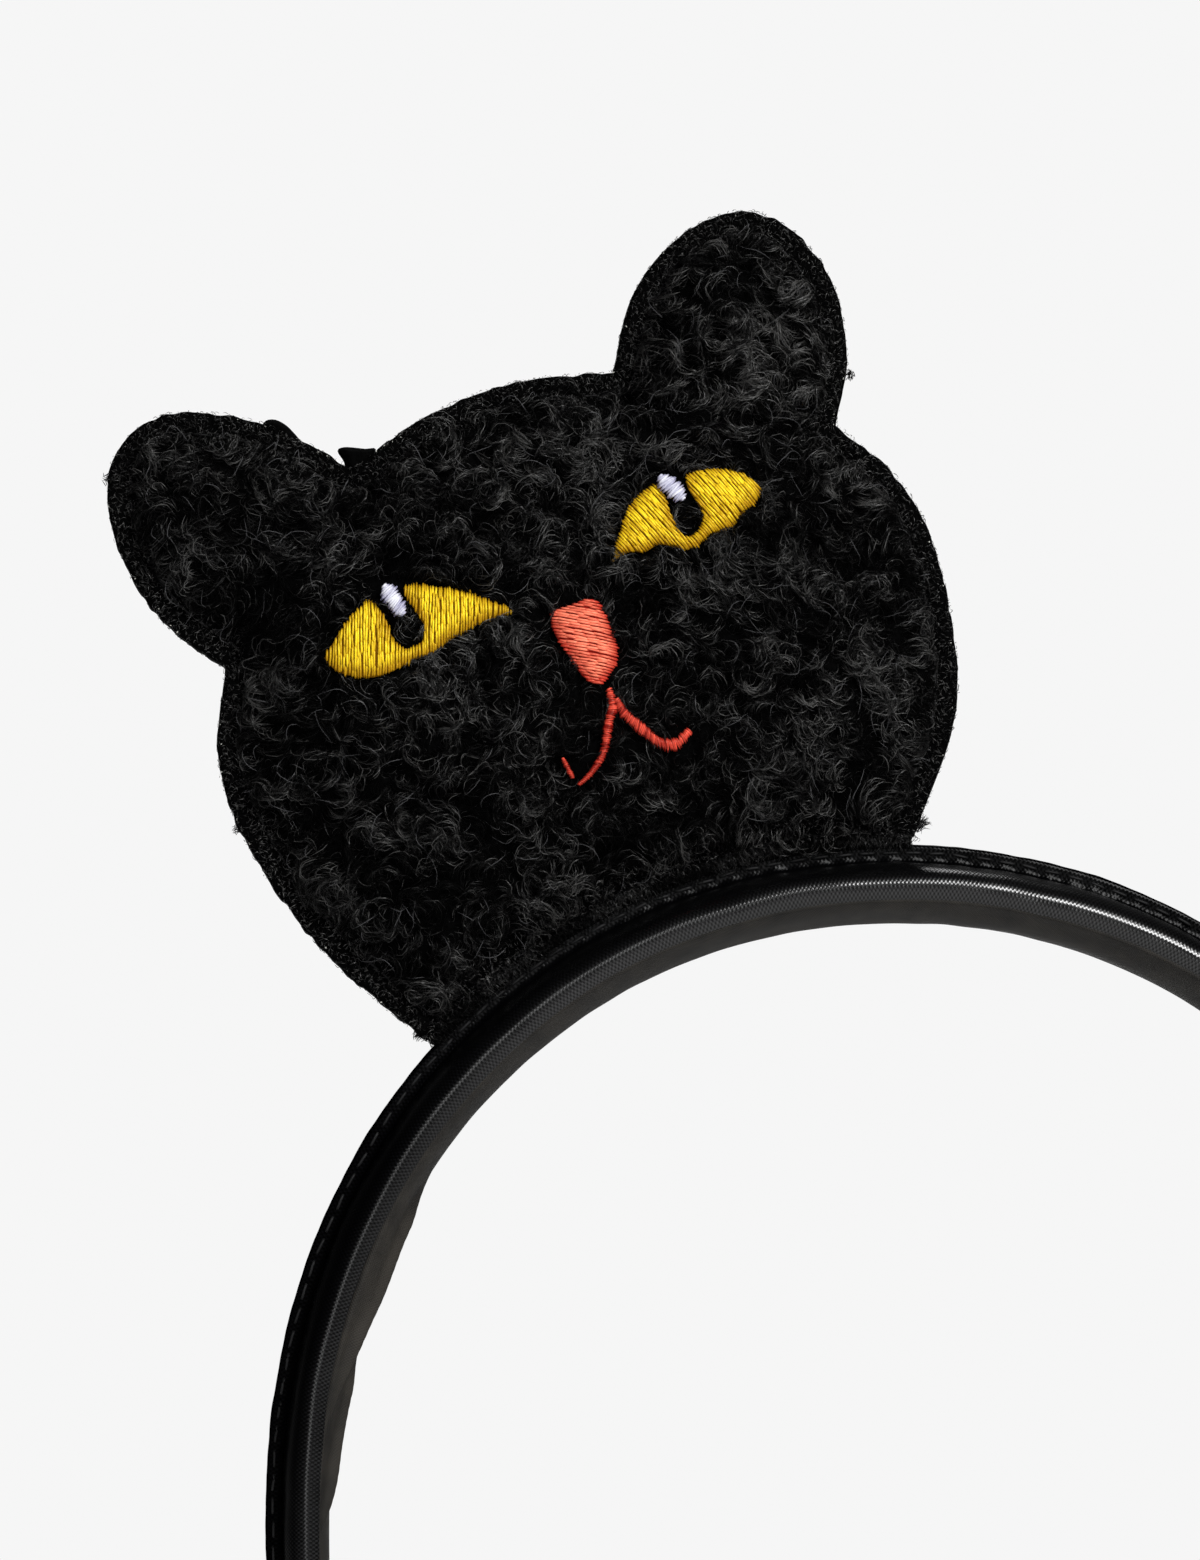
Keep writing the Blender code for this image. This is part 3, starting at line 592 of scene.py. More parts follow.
def sleeve(name, outer, inner, start, end, finish, relief=None, ring=0.45):
    """A closed skin along the band: the outer path with its relief, and the inner path back.

    The flange is pressed down towards the tip, where the end fold closes over it. The attribute "weave" holds
    the distances along and across the cloth in mm, and "tone" the height of its relief.
    """
    arcs = np.linspace(start, end, int(abs(end - start) / ring) + 1)
    run = run_along(outer)
    ahead = np.gradient(outer, axis=0)
    ahead /= np.linalg.norm(ahead, axis=1)[:, None]
    out = np.column_stack((-ahead[:, 1], ahead[:, 0]))
    if (out * (outer - inner.mean(axis=0))).sum() < 0:
        out = -out
    arc, across = np.meshgrid(arcs, run, indexing="ij")
    lift = relief(arc, across, run[-1]) if relief else np.zeros_like(arc)
    skin = np.stack((outer[:, 0] + lift * out[:, 0], outer[:, 1] + lift * out[:, 1]), axis=-1)
    loop = np.concatenate((skin, np.broadcast_to(inner, (len(arcs), *inner.shape))), axis=1)
    proud = np.maximum(loop[..., 1] - DOME_RISE - 0.2, 0)
    tucked = step_up(TIP_AT - END_FOLD - 9, TIP_AT - END_FOLD, np.abs(arcs))[:, None]
    loop[..., 1] -= 0.85 * proud * tucked
    around = np.broadcast_to(arcs[:, None], loop.shape[:2])
    points = band_point(around, loop[..., 0], loop[..., 1])
    flat = points.reshape(-1, 3)
    across_all = np.concatenate((run, run[-1] + np.linspace(0, run[-1], len(inner))))
    weave = np.column_stack((around.ravel(), np.broadcast_to(across_all, loop.shape[:2]).ravel()))
    height = np.concatenate((lift, np.zeros((len(arcs), len(inner)))), axis=1).ravel()
    return mesh_object(name, flat, turned_out(swept(points), flat), finish, weave, tone=height)


def on_band(piece, side, part=None):
    """The piece is baked in place in the frame, and stands for that part of the crown and of the leg."""
    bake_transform(piece)
    if part:
        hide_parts(f"crown_{part}", f"{side}_leg_{part}")


def running_stitches(name, start, end, depth_side):
    """Black stitches along the flange, one side's."""
    length, steps, sides = 1.7, 7, 6
    count = int(abs(end - start) / STITCH_PITCH)
    middles = np.linspace(start, end, count, endpoint=False) + (end - start) / count / 2
    noise = np.random.default_rng(41 + (depth_side > 0))
    shift = np.linspace(-0.5, 0.5, steps)
    arc = middles[:, None] + shift * length + noise.normal(0, 0.05, (count, 1))
    dip = 1 - (2 * np.abs(shift)) ** 4
    depth = np.broadcast_to(depth_side * (0.70 + 0.20 * dip), arc.shape)
    lift = 4.62 + noise.normal(0, 0.05, (count, 1)) + 0.10 * shift * noise.normal(0, 1, (count, 1))
    lines = band_point(arc, depth, np.broadcast_to(lift, arc.shape))
    points, faces = tubes(lines, np.full(arc.shape, 0.17), sides)
    tone = np.repeat(noise.uniform(0.2, 1, count), steps * sides)
    return mesh_object(name, points, faces, SATIN_THREAD, tone=tone, sharp=None)


def build_band():
    """The two halves of the sleeve with their padding, and the plastic core inside."""
    cover_outer, cover_inner = cover_loop()
    lining_outer, lining_inner = lining_loop()
    play = 0.36
    half_depth, rise = HALF_DEPTH - CLOTH - play, DOME_RISE - CLOTH - play
    foam = dome(half_depth, rise, 1.0, from_lift=CORE_HALF_THICKNESS + GAP, count=12)
    foam = np.array(foam + mirrored(foam)[::-1])
    felt = smooth_line([(-3.9, -1.1), (-3.7, -1.5), (-1.9, -1.75), (1.9, -1.75), (3.7, -1.5), (3.9, -1.1)], 4)
    for side, sign in (("left", -1), ("right", 1)):
        start, end = HALVES_MEET, sign * (TIP_AT - END_FOLD)
        stitched_to, padded_to = end - sign * 7, end - sign * 0.4
        for face, turn in (("front", 1), ("back", -1)):
            flip = np.array((turn, 1.0))
            paths = cover_outer * flip, cover_inner * flip
            cover = sleeve(f"cover_{face}_{side}", *paths, start, end, SATIN, puckers)
            on_band(cover, side, f"cover_{face}")
            stitches = running_stitches(f"flange_stitches_{face}_{side}", start, stitched_to, -turn)
            on_band(stitches, side)
        lining = sleeve(f"lining_{side}", lining_outer, lining_inner, start, end, LINING, creases)
        on_band(lining, side, "lining")
        for part, outer, ends, fill in (("padding", evenly(foam, 0.6), foam[[-1, 0]], 0.7),
                                        ("inner_pad", felt, felt[[-1, 0]], 0.5)):
            pad = sleeve(f"{part}_{side}", outer, ends * 0.98, start, padded_to, FOAM, ring=1.2)
            on_band(pad, side, part)
        build_end(side, sign)
    for body in ("crown", "left_leg", "right_leg"):
        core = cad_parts[f"{body}_core"]
        core.data.materials.clear()
        core.data.materials.append(PLASTIC)


def build_end(side, sign):
    """The fold that closes a tip, flat where it stands."""
    spacing, floor = 0.45, 0.02
    half = [(0.0, -LINING_BULGE), (-2.6, -LINING_BULGE + 0.12), (-5.0, -2.5), (-6.4, -1.7)]
    half += dome(HALF_DEPTH, DOME_RISE, 1.4, count=12) + [(0.0, DOME_RISE + 0.2)]
    loop = evenly(half + mirrored(half)[-2:0:-1] + [half[0]], spacing)[:-1]
    places = np.arange(len(loop))
    arcs = np.linspace(TIP_AT - END_FOLD - 0.6, TIP_AT, 14)
    share = (arcs - arcs[0]) / (arcs[-1] - arcs[0])
    size = 1.035 - 0.035 * share - 0.10 * np.clip((share - 0.75) / 0.25, 0, 1) ** 2
    size = size - 0.06 * np.clip((0.12 - share) / 0.12, 0, 1)
    around = np.broadcast_to((sign * arcs)[:, None], (len(arcs), len(loop)))
    soft = 1 + 0.012 * field(52, 1.4, 1.0)(around, np.broadcast_to(places, around.shape))
    points = band_point(around, loop[:, 0] * size[:, None] * soft, loop[:, 1] * size[:, None] * soft)
    _, along, _ = spine_frame(np.array(sign * (TIP_AT - 1)))
    points[-1] -= along / along[2] * (points[-1, :, 2] - floor)[:, None]
    points[-2:, :, 2] = np.maximum(points[-2:, :, 2], floor)
    flat = points.reshape(-1, 3)
    weave = np.column_stack((around.ravel(), np.broadcast_to(places * spacing, around.shape).ravel()))
    made = mesh_object(f"end_fold_{side}", flat, turned_out(swept(points), flat), SATIN, weave)
    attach(made, f"{side}_leg")
    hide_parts(f"{side}_leg_end_fold")


# --- the head's plane ---
def flange_point(arc, above):
    """The (x, z) places that far above the flange's tip."""
    arc = np.asarray(arc, float)
    place_at, _, outwards = spine_frame(arc)
    return (place_at + outwards * (FLANGE_TIP * band_scale(arc) + above)[..., None])[..., [0, 2]]


FOOT_LEFT, FOOT_RIGHT = flange_point(HEAD_FEET[0], BASE_GAP), flange_point(HEAD_FEET[1], BASE_GAP)
HEAD_ORIGIN = (FOOT_LEFT + FOOT_RIGHT) / 2
HEAD_ACROSS = (FOOT_RIGHT - FOOT_LEFT) / np.linalg.norm(FOOT_RIGHT - FOOT_LEFT)
HEAD_UP = np.array((-HEAD_ACROSS[1], HEAD_ACROSS[0]))


def in_frame(across, depth, up):
    """Points in the part's frame from places in the head's plane and a depth along Y."""
    x = HEAD_ORIGIN[0] + across * HEAD_ACROSS[0] + up * HEAD_UP[0]
    z = HEAD_ORIGIN[1] + across * HEAD_ACROSS[1] + up * HEAD_UP[1]
    return np.stack((x, np.broadcast_to(depth, x.shape), z), axis=-1)


def head_outline(spacing):
    """The outline round the cheeks, ears and top, and then its base along the flange."""
    foot = np.linalg.norm(FOOT_RIGHT - FOOT_LEFT) / 2
    upper = []
    for stretch in ([(-foot, 0.0)] + LEFT_CHEEK, LEFT_EAR, HEAD_TOP, RIGHT_EAR, RIGHT_CHEEK + [(foot, 0.0)]):
        upper += list(evenly(smooth_line(stretch, 10), spacing)[:-1])
    arcs = np.linspace(HEAD_FEET[1], HEAD_FEET[0], int((HEAD_FEET[1] - HEAD_FEET[0]) / spacing), endpoint=False)
    offset = flange_point(arcs, BASE_GAP) - HEAD_ORIGIN
    base = np.column_stack((offset @ HEAD_ACROSS, offset @ HEAD_UP))
    return np.array(upper), base


def chain_distance(places, start, end):
    """The distance of each place from the nearest of some straight spans."""
    span = end - start
    found = []
    for part in np.array_split(places, max(1, len(places) // 4000)):
        offset = part[:, None, :] - start[None]
        share = np.clip((offset * span).sum(-1) / (span ** 2).sum(-1), 0, 1)
        found.append(np.linalg.norm(offset - share[..., None] * span, axis=-1).min(axis=1))
    return np.concatenate(found)


def edge_distance(places, outline):
    return chain_distance(places, outline, np.roll(outline, -1, axis=0))


def inside(places, outline):
    """Which places are inside an outline, by how often a ray from them crosses it."""
    start, end = outline, np.roll(outline, -1, axis=0)
    found = []
    for part in np.array_split(places, max(1, len(places) // 4000)):
        x, z = part[:, :1], part[:, 1:]
        spans = (start[:, 1] > z) != (end[:, 1] > z)
        rise = np.where(end[:, 1] == start[:, 1], 1.0, end[:, 1] - start[:, 1])
        crossing = start[:, 0] + (z - start[:, 1]) * (end[:, 0] - start[:, 0]) / rise
        found.append((spans & (x < crossing)).sum(axis=1) % 2 == 1)
    return np.concatenate(found)


def depth_in(places, outline):
    """How far inside an outline each place is, and under 0 outside it."""
    return edge_distance(places, outline) * np.where(inside(places, outline), 1, -1)


def staggered(outline, spacing):
    """A grid of places over an outline's box, every second row moved by half a step."""
    low, high, rows = outline.min(axis=0), outline.max(axis=0), []
    for row, up in enumerate(np.arange(low[1], high[1], 0.87 * spacing)):
        across = np.arange(low[0] + (row % 2) * spacing / 2, high[0], spacing)
        rows.append(np.column_stack((across, np.full(len(across), up))))
    return np.vstack(rows)


def filled(outline, spacing):
    """Triangles over an outline: its places and faces."""
    grid = staggered(outline, spacing)
    grid = grid[inside(grid, outline)]
    grid = grid[edge_distance(grid, outline) > 0.62 * spacing]
    count = len(outline)
    loop = [(index, (index + 1) % count) for index in range(count)]
    cut = delaunay_2d_cdt([Vector(p) for p in np.vstack((outline, grid))], loop, [tuple(range(count))], 1, 1e-6)
    return np.array([tuple(p) for p in cut[0]]), np.array([tuple(face) for face in cut[2]])


def divided(places, triangles):
    """Each triangle cut into four."""
    edges = np.sort(np.concatenate((triangles[:, [0, 1]], triangles[:, [1, 2]], triangles[:, [2, 0]])), axis=1)
    unique, at = np.unique(edges, axis=0, return_inverse=True)
    middles = len(places) + at.reshape(3, -1)
    ab, bc, ca = middles
    a, b, c = triangles.T
    faces = np.concatenate([np.column_stack(t) for t in ((a, ab, ca), (ab, b, bc), (ca, bc, c), (ab, bc, ca))])
    return np.vstack((places, places[unique].mean(axis=1))), faces


def rim_of(triangles):
    """The directed edges that only one triangle has."""
    edges = np.concatenate((triangles[:, [0, 1]], triangles[:, [1, 2]], triangles[:, [2, 0]]))
    keys = np.sort(edges, axis=1)
    _, at, uses = np.unique(keys, axis=0, return_inverse=True, return_counts=True)
    return edges[uses[at.ravel()] == 1]


def layered(name, outer, inner, triangles, finish, tone=None):
    """A closed piece between two layers of points with the same triangles."""
    count, rim = len(outer), rim_of(triangles)
    points = np.concatenate((outer, inner))
    walls = np.column_stack((rim[:, 1], rim[:, 0], rim[:, 0] + count, rim[:, 1] + count))
    faces = [np.concatenate((triangles, triangles[:, ::-1] + count)), walls]
    return mesh_object(name, points, turned_out(faces, points), finish, tone=tone)


def shell(name, places, triangles, outer, inner, side, finish, tone=None):
    """A layer of the head over flat triangles, between two heights on one side of the middle plane."""
    layers = [in_frame(places[:, 0], side * height, places[:, 1]) for height in (outer, inner)]
    return layered(name, *layers, triangles, finish, tone)


def on_head(piece, slot, *nodes):
    """The piece rides on the head, and stands for those nodes."""
    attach(piece, "cat_head")
    if nodes:
        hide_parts(*nodes)


class Lattice:
    """Values kept on a fine square grid over the head's plane, and read between its points."""

    step = 0.3
    low = np.array((-46.0, -5.0))
    shape = (330, 290)

    def __init__(self, values):
        self.values = values

    @classmethod
    def places(cls):
        across, up = np.meshgrid(np.arange(cls.shape[0]), np.arange(cls.shape[1]), indexing="ij")
        return cls.low + np.column_stack((across.ravel(), up.ravel())) * cls.step

    def __call__(self, across, up):
        x = np.clip((across - self.low[0]) / self.step, 0, self.shape[0] - 1.001)
        y = np.clip((up - self.low[1]) / self.step, 0, self.shape[1] - 1.001)
        left, low = x.astype(int), y.astype(int)
        s, t, v = x - left, y - low, self.values
        return ((v[left, low] * (1 - s) + v[left + 1, low] * s) * (1 - t)
                + (v[left, low + 1] * (1 - s) + v[left + 1, low + 1] * s) * t)

    def softened(self, rounds):
        v = self.values.copy()
        for _ in range(rounds):
            v[1:-1, 1:-1] = (v[1:-1, 1:-1] * 2 + v[:-2, 1:-1] + v[2:, 1:-1] + v[1:-1, :-2] + v[1:-1, 2:]) / 6
        return Lattice(v)


UPPER, BASE = head_outline(1.1)
OUTLINE = np.vstack((UPPER, BASE))
GRID = Lattice.places()
GRID_INSIDE = inside(GRID, OUTLINE)
RIM_FAR = chain_distance(GRID, UPPER, np.vstack((UPPER[1:], BASE[:1])))
BASE_FAR = chain_distance(GRID, BASE, np.vstack((BASE[1:], UPPER[:1])))
to_rim = Lattice(np.where(GRID_INSIDE | (BASE_FAR < RIM_FAR), RIM_FAR, -RIM_FAR).reshape(Lattice.shape))
to_base = Lattice(np.where(GRID_INSIDE | (RIM_FAR < BASE_FAR), BASE_FAR, -BASE_FAR).reshape(Lattice.shape))
to_edge = Lattice(np.where(np.abs(to_rim.values) < np.abs(to_base.values), to_rim.values, to_base.values))
past_seam = Lattice(np.minimum(to_rim.values - SEAM_BORDER, to_base.values - BASE_BORDER))


def inwards(loop):
    """At each point of a loop, a step of 1 mm into it."""
    ahead = np.roll(loop, -1, axis=0) - np.roll(loop, 1, axis=0)
    ahead /= np.linalg.norm(ahead, axis=1)[:, None]
    return np.column_stack((ahead[:, 1], -ahead[:, 0]))


def inset(rim_distance, base_distance, spacing):
    """A loop inside the outline, at one distance from its rim and another from its base."""
    far = np.where(np.arange(len(OUTLINE)) < len(UPPER), rim_distance, base_distance)
    loop = OUTLINE + inwards(OUTLINE) * far[:, None]
    kept = (to_rim(*loop.T) > 0.93 * rim_distance) & (to_base(*loop.T) > 0.85 * base_distance)
    loop = loop[kept]
    return evenly(np.vstack((loop, loop[:1])), spacing)[:-1]


def closed_curve(points, per_span=4):
    points = list(points)
    return np.array(smooth_stretch(points + points[:1], per_span))


PATCHES = [closed_curve(LEFT_EYE), closed_curve(RIGHT_EYE), closed_curve(NOSE)]
PATCHES += [np.array([(-15.9, 48.8), (-14.1, 48.8), (-13.3, 44.6), (-15.2, 44.6)]),
            np.array([(17.8, 48.5), (19.5, 48.5), (21.0, 44.7), (19.0, 44.7)])]


def patch_distance():
    """How far each place of the grid is from the nearest embroidery, and under 0 inside it."""
    nearest = np.full(len(GRID), 99.0)
    for loop in PATCHES:
        close = np.abs(GRID - loop.mean(axis=0)).max(axis=1) < 18
        nearest[close] = np.minimum(nearest[close], -depth_in(GRID[close], loop))
    for route in (MOUTH_LEFT, MOUTH_RIGHT, MOUTH_LEFT_END):
        line = evenly(smooth_line(route), 0.5)
        close = np.abs(GRID - line.mean(axis=0)).max(axis=1) < 14
        away = np.linalg.norm(GRID[close][:, None] - line[None], axis=-1).min(axis=1) - 0.5
        nearest[close] = np.minimum(nearest[close], away)
    return Lattice(nearest.reshape(Lattice.shape))


to_patch = patch_distance()


# --- the stuffed cushion ---
def puff_shape(distance):
    """The puffed height at a distance past the seam."""
    return PUFF * (1 - np.exp(-np.maximum(distance, 0) / PUFF_SOFTNESS))


SIM_SCALE = 10.0        # the cushion is simulated at ten times its size, where cloth behaves like cloth
SIM_FRAMES = 20
SIM_REACH = 2.5         # no place of it is moved further than this


def cushion_heights():
    """The puffed height of the front and the back over the grid, from a cloth cushion under pressure."""
    seam = inset(SEAM_BORDER, BASE_BORDER, 2.2)
    places, triangles = filled(seam, 2.3)
    count, border = len(places), len(seam)
    start = 0.82 * puff_shape(past_seam(places[:, 0], places[:, 1]))
    start[:border] = 0
    front = in_frame(places[:, 0], -start, places[:, 1])
    back = in_frame(places[:, 0], start, places[:, 1])
    renumber = np.concatenate((np.arange(border), count + np.arange(count - border)))
    points = np.vstack((front, back[border:]))
    faces = turned_out([np.concatenate((triangles, renumber[triangles][:, ::-1]))], points)[0]
    mesh = bpy.data.meshes.new("cushion")
    mesh.from_pydata((points * MM * SIM_SCALE).tolist(), [], faces.tolist())
    cushion = bpy.data.objects.new("cushion", mesh)
    scene.collection.objects.link(cushion)
    cushion.vertex_groups.new(name="seam").add(list(range(border)), 1.0, "REPLACE")
    cloth = cushion.modifiers.new("cloth", "CLOTH")
    settings = cloth.settings
    settings.vertex_group_mass = "seam"
    settings.quality = 6
    settings.mass = 0.3
    settings.tension_stiffness = settings.compression_stiffness = 18
    settings.shear_stiffness = 8
    settings.bending_stiffness = 0.6
    settings.use_pressure = True
    settings.uniform_pressure_force = 4.0
    settings.effector_weights.gravity = 0
    cloth.point_cache.frame_start, cloth.point_cache.frame_end = 1, SIM_FRAMES
    for moment in range(1, SIM_FRAMES + 1):
        scene.frame_set(moment)
    shaped = cushion.evaluated_get(bpy.context.evaluated_depsgraph_get())
    moved = np.array([vertex.co for vertex in shaped.data.vertices]) / MM / SIM_SCALE
    moved = points + np.clip(moved - points, -SIM_REACH, SIM_REACH)
    tree = BVHTree.FromPolygons(moved.tolist(), faces.tolist())
    scene.frame_set(1)
    bpy.data.objects.remove(cushion)
    heights = []
    wanted = np.flatnonzero(GRID_INSIDE & (past_seam.values.ravel() > -0.2))
    flat = in_frame(GRID[wanted, 0], 0.0, GRID[wanted, 1])
    for side in (-1, 1):
        found = np.zeros(len(GRID))
        for at, point in zip(wanted, flat):
            hit = tree.ray_cast(Vector((point[0], side * 40.0, point[2])), Vector((0, -side, 0)))[0]
            found[at] = max(0.0, side * hit.y) if hit else 0.0
        heights.append(Lattice(found.reshape(Lattice.shape)).softened(8))
    return heights


def surface_heights():
    """For each side, the smooth cloth surface and the tufted one."""
    made = []
    for index, puffed in enumerate(cushion_heights()):
        past, patch = past_seam.values, to_patch.values
        across, up = GRID[:, 0].reshape(Lattice.shape), GRID[:, 1].reshape(Lattice.shape)
        bed = BORDER_HEIGHT + (PILE_BED - BORDER_HEIGHT) * step_up(0, 2.5, past)
        groove = 0.45 * np.exp(-(past / 0.5) ** 2)
        smooth = puffed.values + bed - groove
        tufts = 0.60 * field(61 + index, 3.2)(across, up) + 0.22 * field(63 + index, 1.7)(across, up)
        if index == 0:
            tufts = tufts * step_up(0.0, 2.0, patch) - 0.25 * step_up(1.6, 0.2, np.abs(patch))
        tufts = tufts * step_up(0, 2.5, past)
        tufts += 0.08 * field(65 + index, 0.9)(across, up)
        made.append((Lattice(smooth).softened(1), Lattice(smooth + tufts)))
    return made


def slopes(heights, across, up, reach):
    return ((heights(across + reach, up) - heights(across - reach, up)) / (2 * reach),
            (heights(across, up + reach) - heights(across, up - reach)) / (2 * reach))


def surface_place(heights, across, up, above):
    """Where a point goes that stands above the cloth, and leans with its slope: across, up and height."""
    slope_across, slope_up = slopes(heights, across, up, 0.5)
    length = np.sqrt(1 + slope_across ** 2 + slope_up ** 2)
    return (across - above * slope_across / length, up - above * slope_up / length,
            heights(across, up) + above / length)


def build_cushion(surfaces):
    """The two panels of the head: pile cloth, tufted where it is stuffed, and flat at the cut border."""
    places, triangles = filled(OUTLINE, 2.3)
    for _ in range(2):
        places, triangles = divided(places, triangles)
    distance, past = to_edge(*places.T), past_seam(*places.T)
    ragged = 0.16 * field(71, 1.1)(places[:, 0], places[:, 1]) * (np.abs(distance) < 0.15)
    for name, side, (smooth, tufted), node in (("head_front", -1, surfaces[0], "head_front_panel"),
                                                ("head_back", 1, surfaces[1], "head_back_panel")):
        outer = tufted(places[:, 0], places[:, 1]) - 0.35 * step_up(0.5, 0.0, distance)
        inner = np.where(past < 0, 0.03, smooth(places[:, 0], places[:, 1]) - 1.25)
        inner = np.maximum(inner, 0.03)
        panel = shell(name, places + ragged[:, None], triangles, outer, inner, side, PILE_GROUND)
        on_head(panel, "pile", node)
    build_stuffing(surfaces)


def build_stuffing(surfaces):
    """The fibre fill, a lumpy body inside both panels."""
    rim = inset(SEAM_BORDER + 2.2, BASE_BORDER + 2.2, 2.4)
    places, triangles = divided(*filled(rim, 3.0))
    lumps = 0.35 * field(75, 4.0)(places[:, 0], places[:, 1])
    layers = []
    for side, (smooth, _) in ((-1, surfaces[0]), (1, surfaces[1])):
        height = smooth(places[:, 0], places[:, 1]) - PILE_BED - 0.9 + lumps
        layers.append(in_frame(places[:, 0], side * np.maximum(height, 0.15), places[:, 1]))
    fill = layered("head_stuffing_fill", *layers, triangles, WADDING)
    on_head(fill, "stuffing", "head_stuffing")


# --- the pile ---
def lock_strands(noise, spots, strands, heights, side):
    """Curly locks: bundles of fibres that rise from the cloth, sweep round side by side and sink back into it.

    Lines in the head's plane, with heights. Neighbouring locks flow much the same way.
    """
    count, steps = len(spots), 7
    s = np.linspace(0, 1, steps)[None, None]
    per_lock = lambda low, high: noise.uniform(low, high, (count, 1, 1))
    per_strand = lambda low, high: noise.uniform(low, high, (count, strands, 1))
    across, up = spots[:, 0][:, None, None], spots[:, 1][:, None, None]
    heading = 1.6 * pi * field(81, 7.5)(across, up) + per_lock(-1.1, 1.1)
    hand = np.sign(field(82, 7.0)(across, up) + per_lock(-0.5, 0.5))
    radius = per_lock(0.8, 2.0)
    lane = per_strand(-0.55, 0.55) * per_lock(0.8, 1.25)
    own = np.maximum(radius + lane, 0.35)
    winding = hand * per_lock(3.0, 5.0) / radius * per_strand(0.65, 1.15)
    winding = np.clip(winding, -4.3, 4.3)
    turn = heading + per_strand(-0.55, 0.55) + winding * s
    shrink = own * (1 - 0.25 * s)
    path_across = own * np.cos(heading) - shrink * np.cos(turn) + lane * np.cos(heading)
    path_up = own * np.sin(heading) - shrink * np.sin(turn) + lane * np.sin(heading)
    twist = per_strand(0, 2 * pi) + per_lock(1.5, 4.0) * s * hand
    thick = per_lock(0.10, 0.30) * per_strand(0.3, 1.0)
    path_across = path_across + thick * np.cos(twist) * np.cos(turn) + per_strand(-0.35, 0.35)
    path_up = path_up + thick * np.cos(twist) * np.sin(turn) + per_strand(-0.35, 0.35)
    ridge = np.sqrt(np.maximum(1 - (lane / 0.85) ** 2, 0.1))
    tall = per_lock(0.5, 1.9) * per_strand(0.7, 1.1) * (0.35 + 0.65 * ridge)
    above = 0.05 + tall * np.sin(pi * (0.04 + 0.90 * s)) ** 0.7 + 0.6 * thick * np.sin(twist)
    wobble = noise.normal(0, 0.065, (3, count, strands, steps)) * np.minimum(1, 2 * s)
    on_top = step_up(58, 61, up) * step_up(-15, -11, across) * step_up(22, 18, across)
    least = SEAM_BORDER - 0.7 + per_strand(-0.6, 0.45) - 1.5 * on_top
    across_at, up_at = kept_in(across + path_across + wobble[0], up + path_up + wobble[1], least)
    room = 0.30 + 0.70 * step_up(-1.2, 1.6, past_rim(across_at, up_at))
    if side < 0:
        room = room * (0.12 + 0.88 * step_up(-0.9, 0.5, to_patch(across_at, up_at)))
    droop = 0.5 * step_up(2.5, 0.0, to_base(across, up)) * s ** 2
    above = np.maximum(room * above + wobble[2], 0.03)
    flat = lambda a: np.broadcast_to(a, (count, strands, steps)).reshape(-1, steps)
    return surface_place(heights, flat(across_at), flat(up_at - droop), flat(above))


def past_rim(across, up):
    return to_rim(across, up) - SEAM_BORDER


def kept_in(across, up, least):
    """The same places, moved inwards where they are nearer to the rim than that."""
    slope_across, slope_up = slopes(to_rim, across, up, 0.4)
    short = np.clip(least - to_rim(across, up), 0, 4)
    return across + short * slope_across, up + short * slope_up


def add_strands(name, lines, radius, finish, side, sides=3):
    """One piece of many fibres, thick at the root and fine at the tip."""
    across, up, height = lines
    steps = across.shape[1]
    path = in_frame(across, side * height, up)
    taper = np.interp(np.linspace(0, 1, steps), (0, 0.15, 0.7, 1), (0.8, 1.0, 0.8, 0.25))
    points, faces = tubes(path, radius[:, None] * taper, sides)
    on_head(mesh_object(name, points, faces, finish, sharp=None), "pile")


def add_shades(name, lines, radius, shade, finishes, side):
    """One piece of fibres for each shade."""
    for index, finish in enumerate(finishes):
        chosen = shade == index
        add_strands(f"{name}_{index + 1}", [line[chosen] for line in lines], radius[chosen], finish, side)


def wandering(spots, heading, length):
    """Where fibres run from their spots, by the heading and the length of each of their steps."""
    return (spots[:, :1] + np.cumsum(length * np.cos(heading), axis=1),
            spots[:, 1:] + np.cumsum(length * np.sin(heading), axis=1))


def thinned(noise, spacing, low):
    """Places over the head, moved off their grid, at least that far past the seam."""
    places = staggered(OUTLINE, spacing)
    places = places + noise.normal(0, 1, places.shape) * 0.24 * spacing
    return places[past_seam(*places.T) > low]


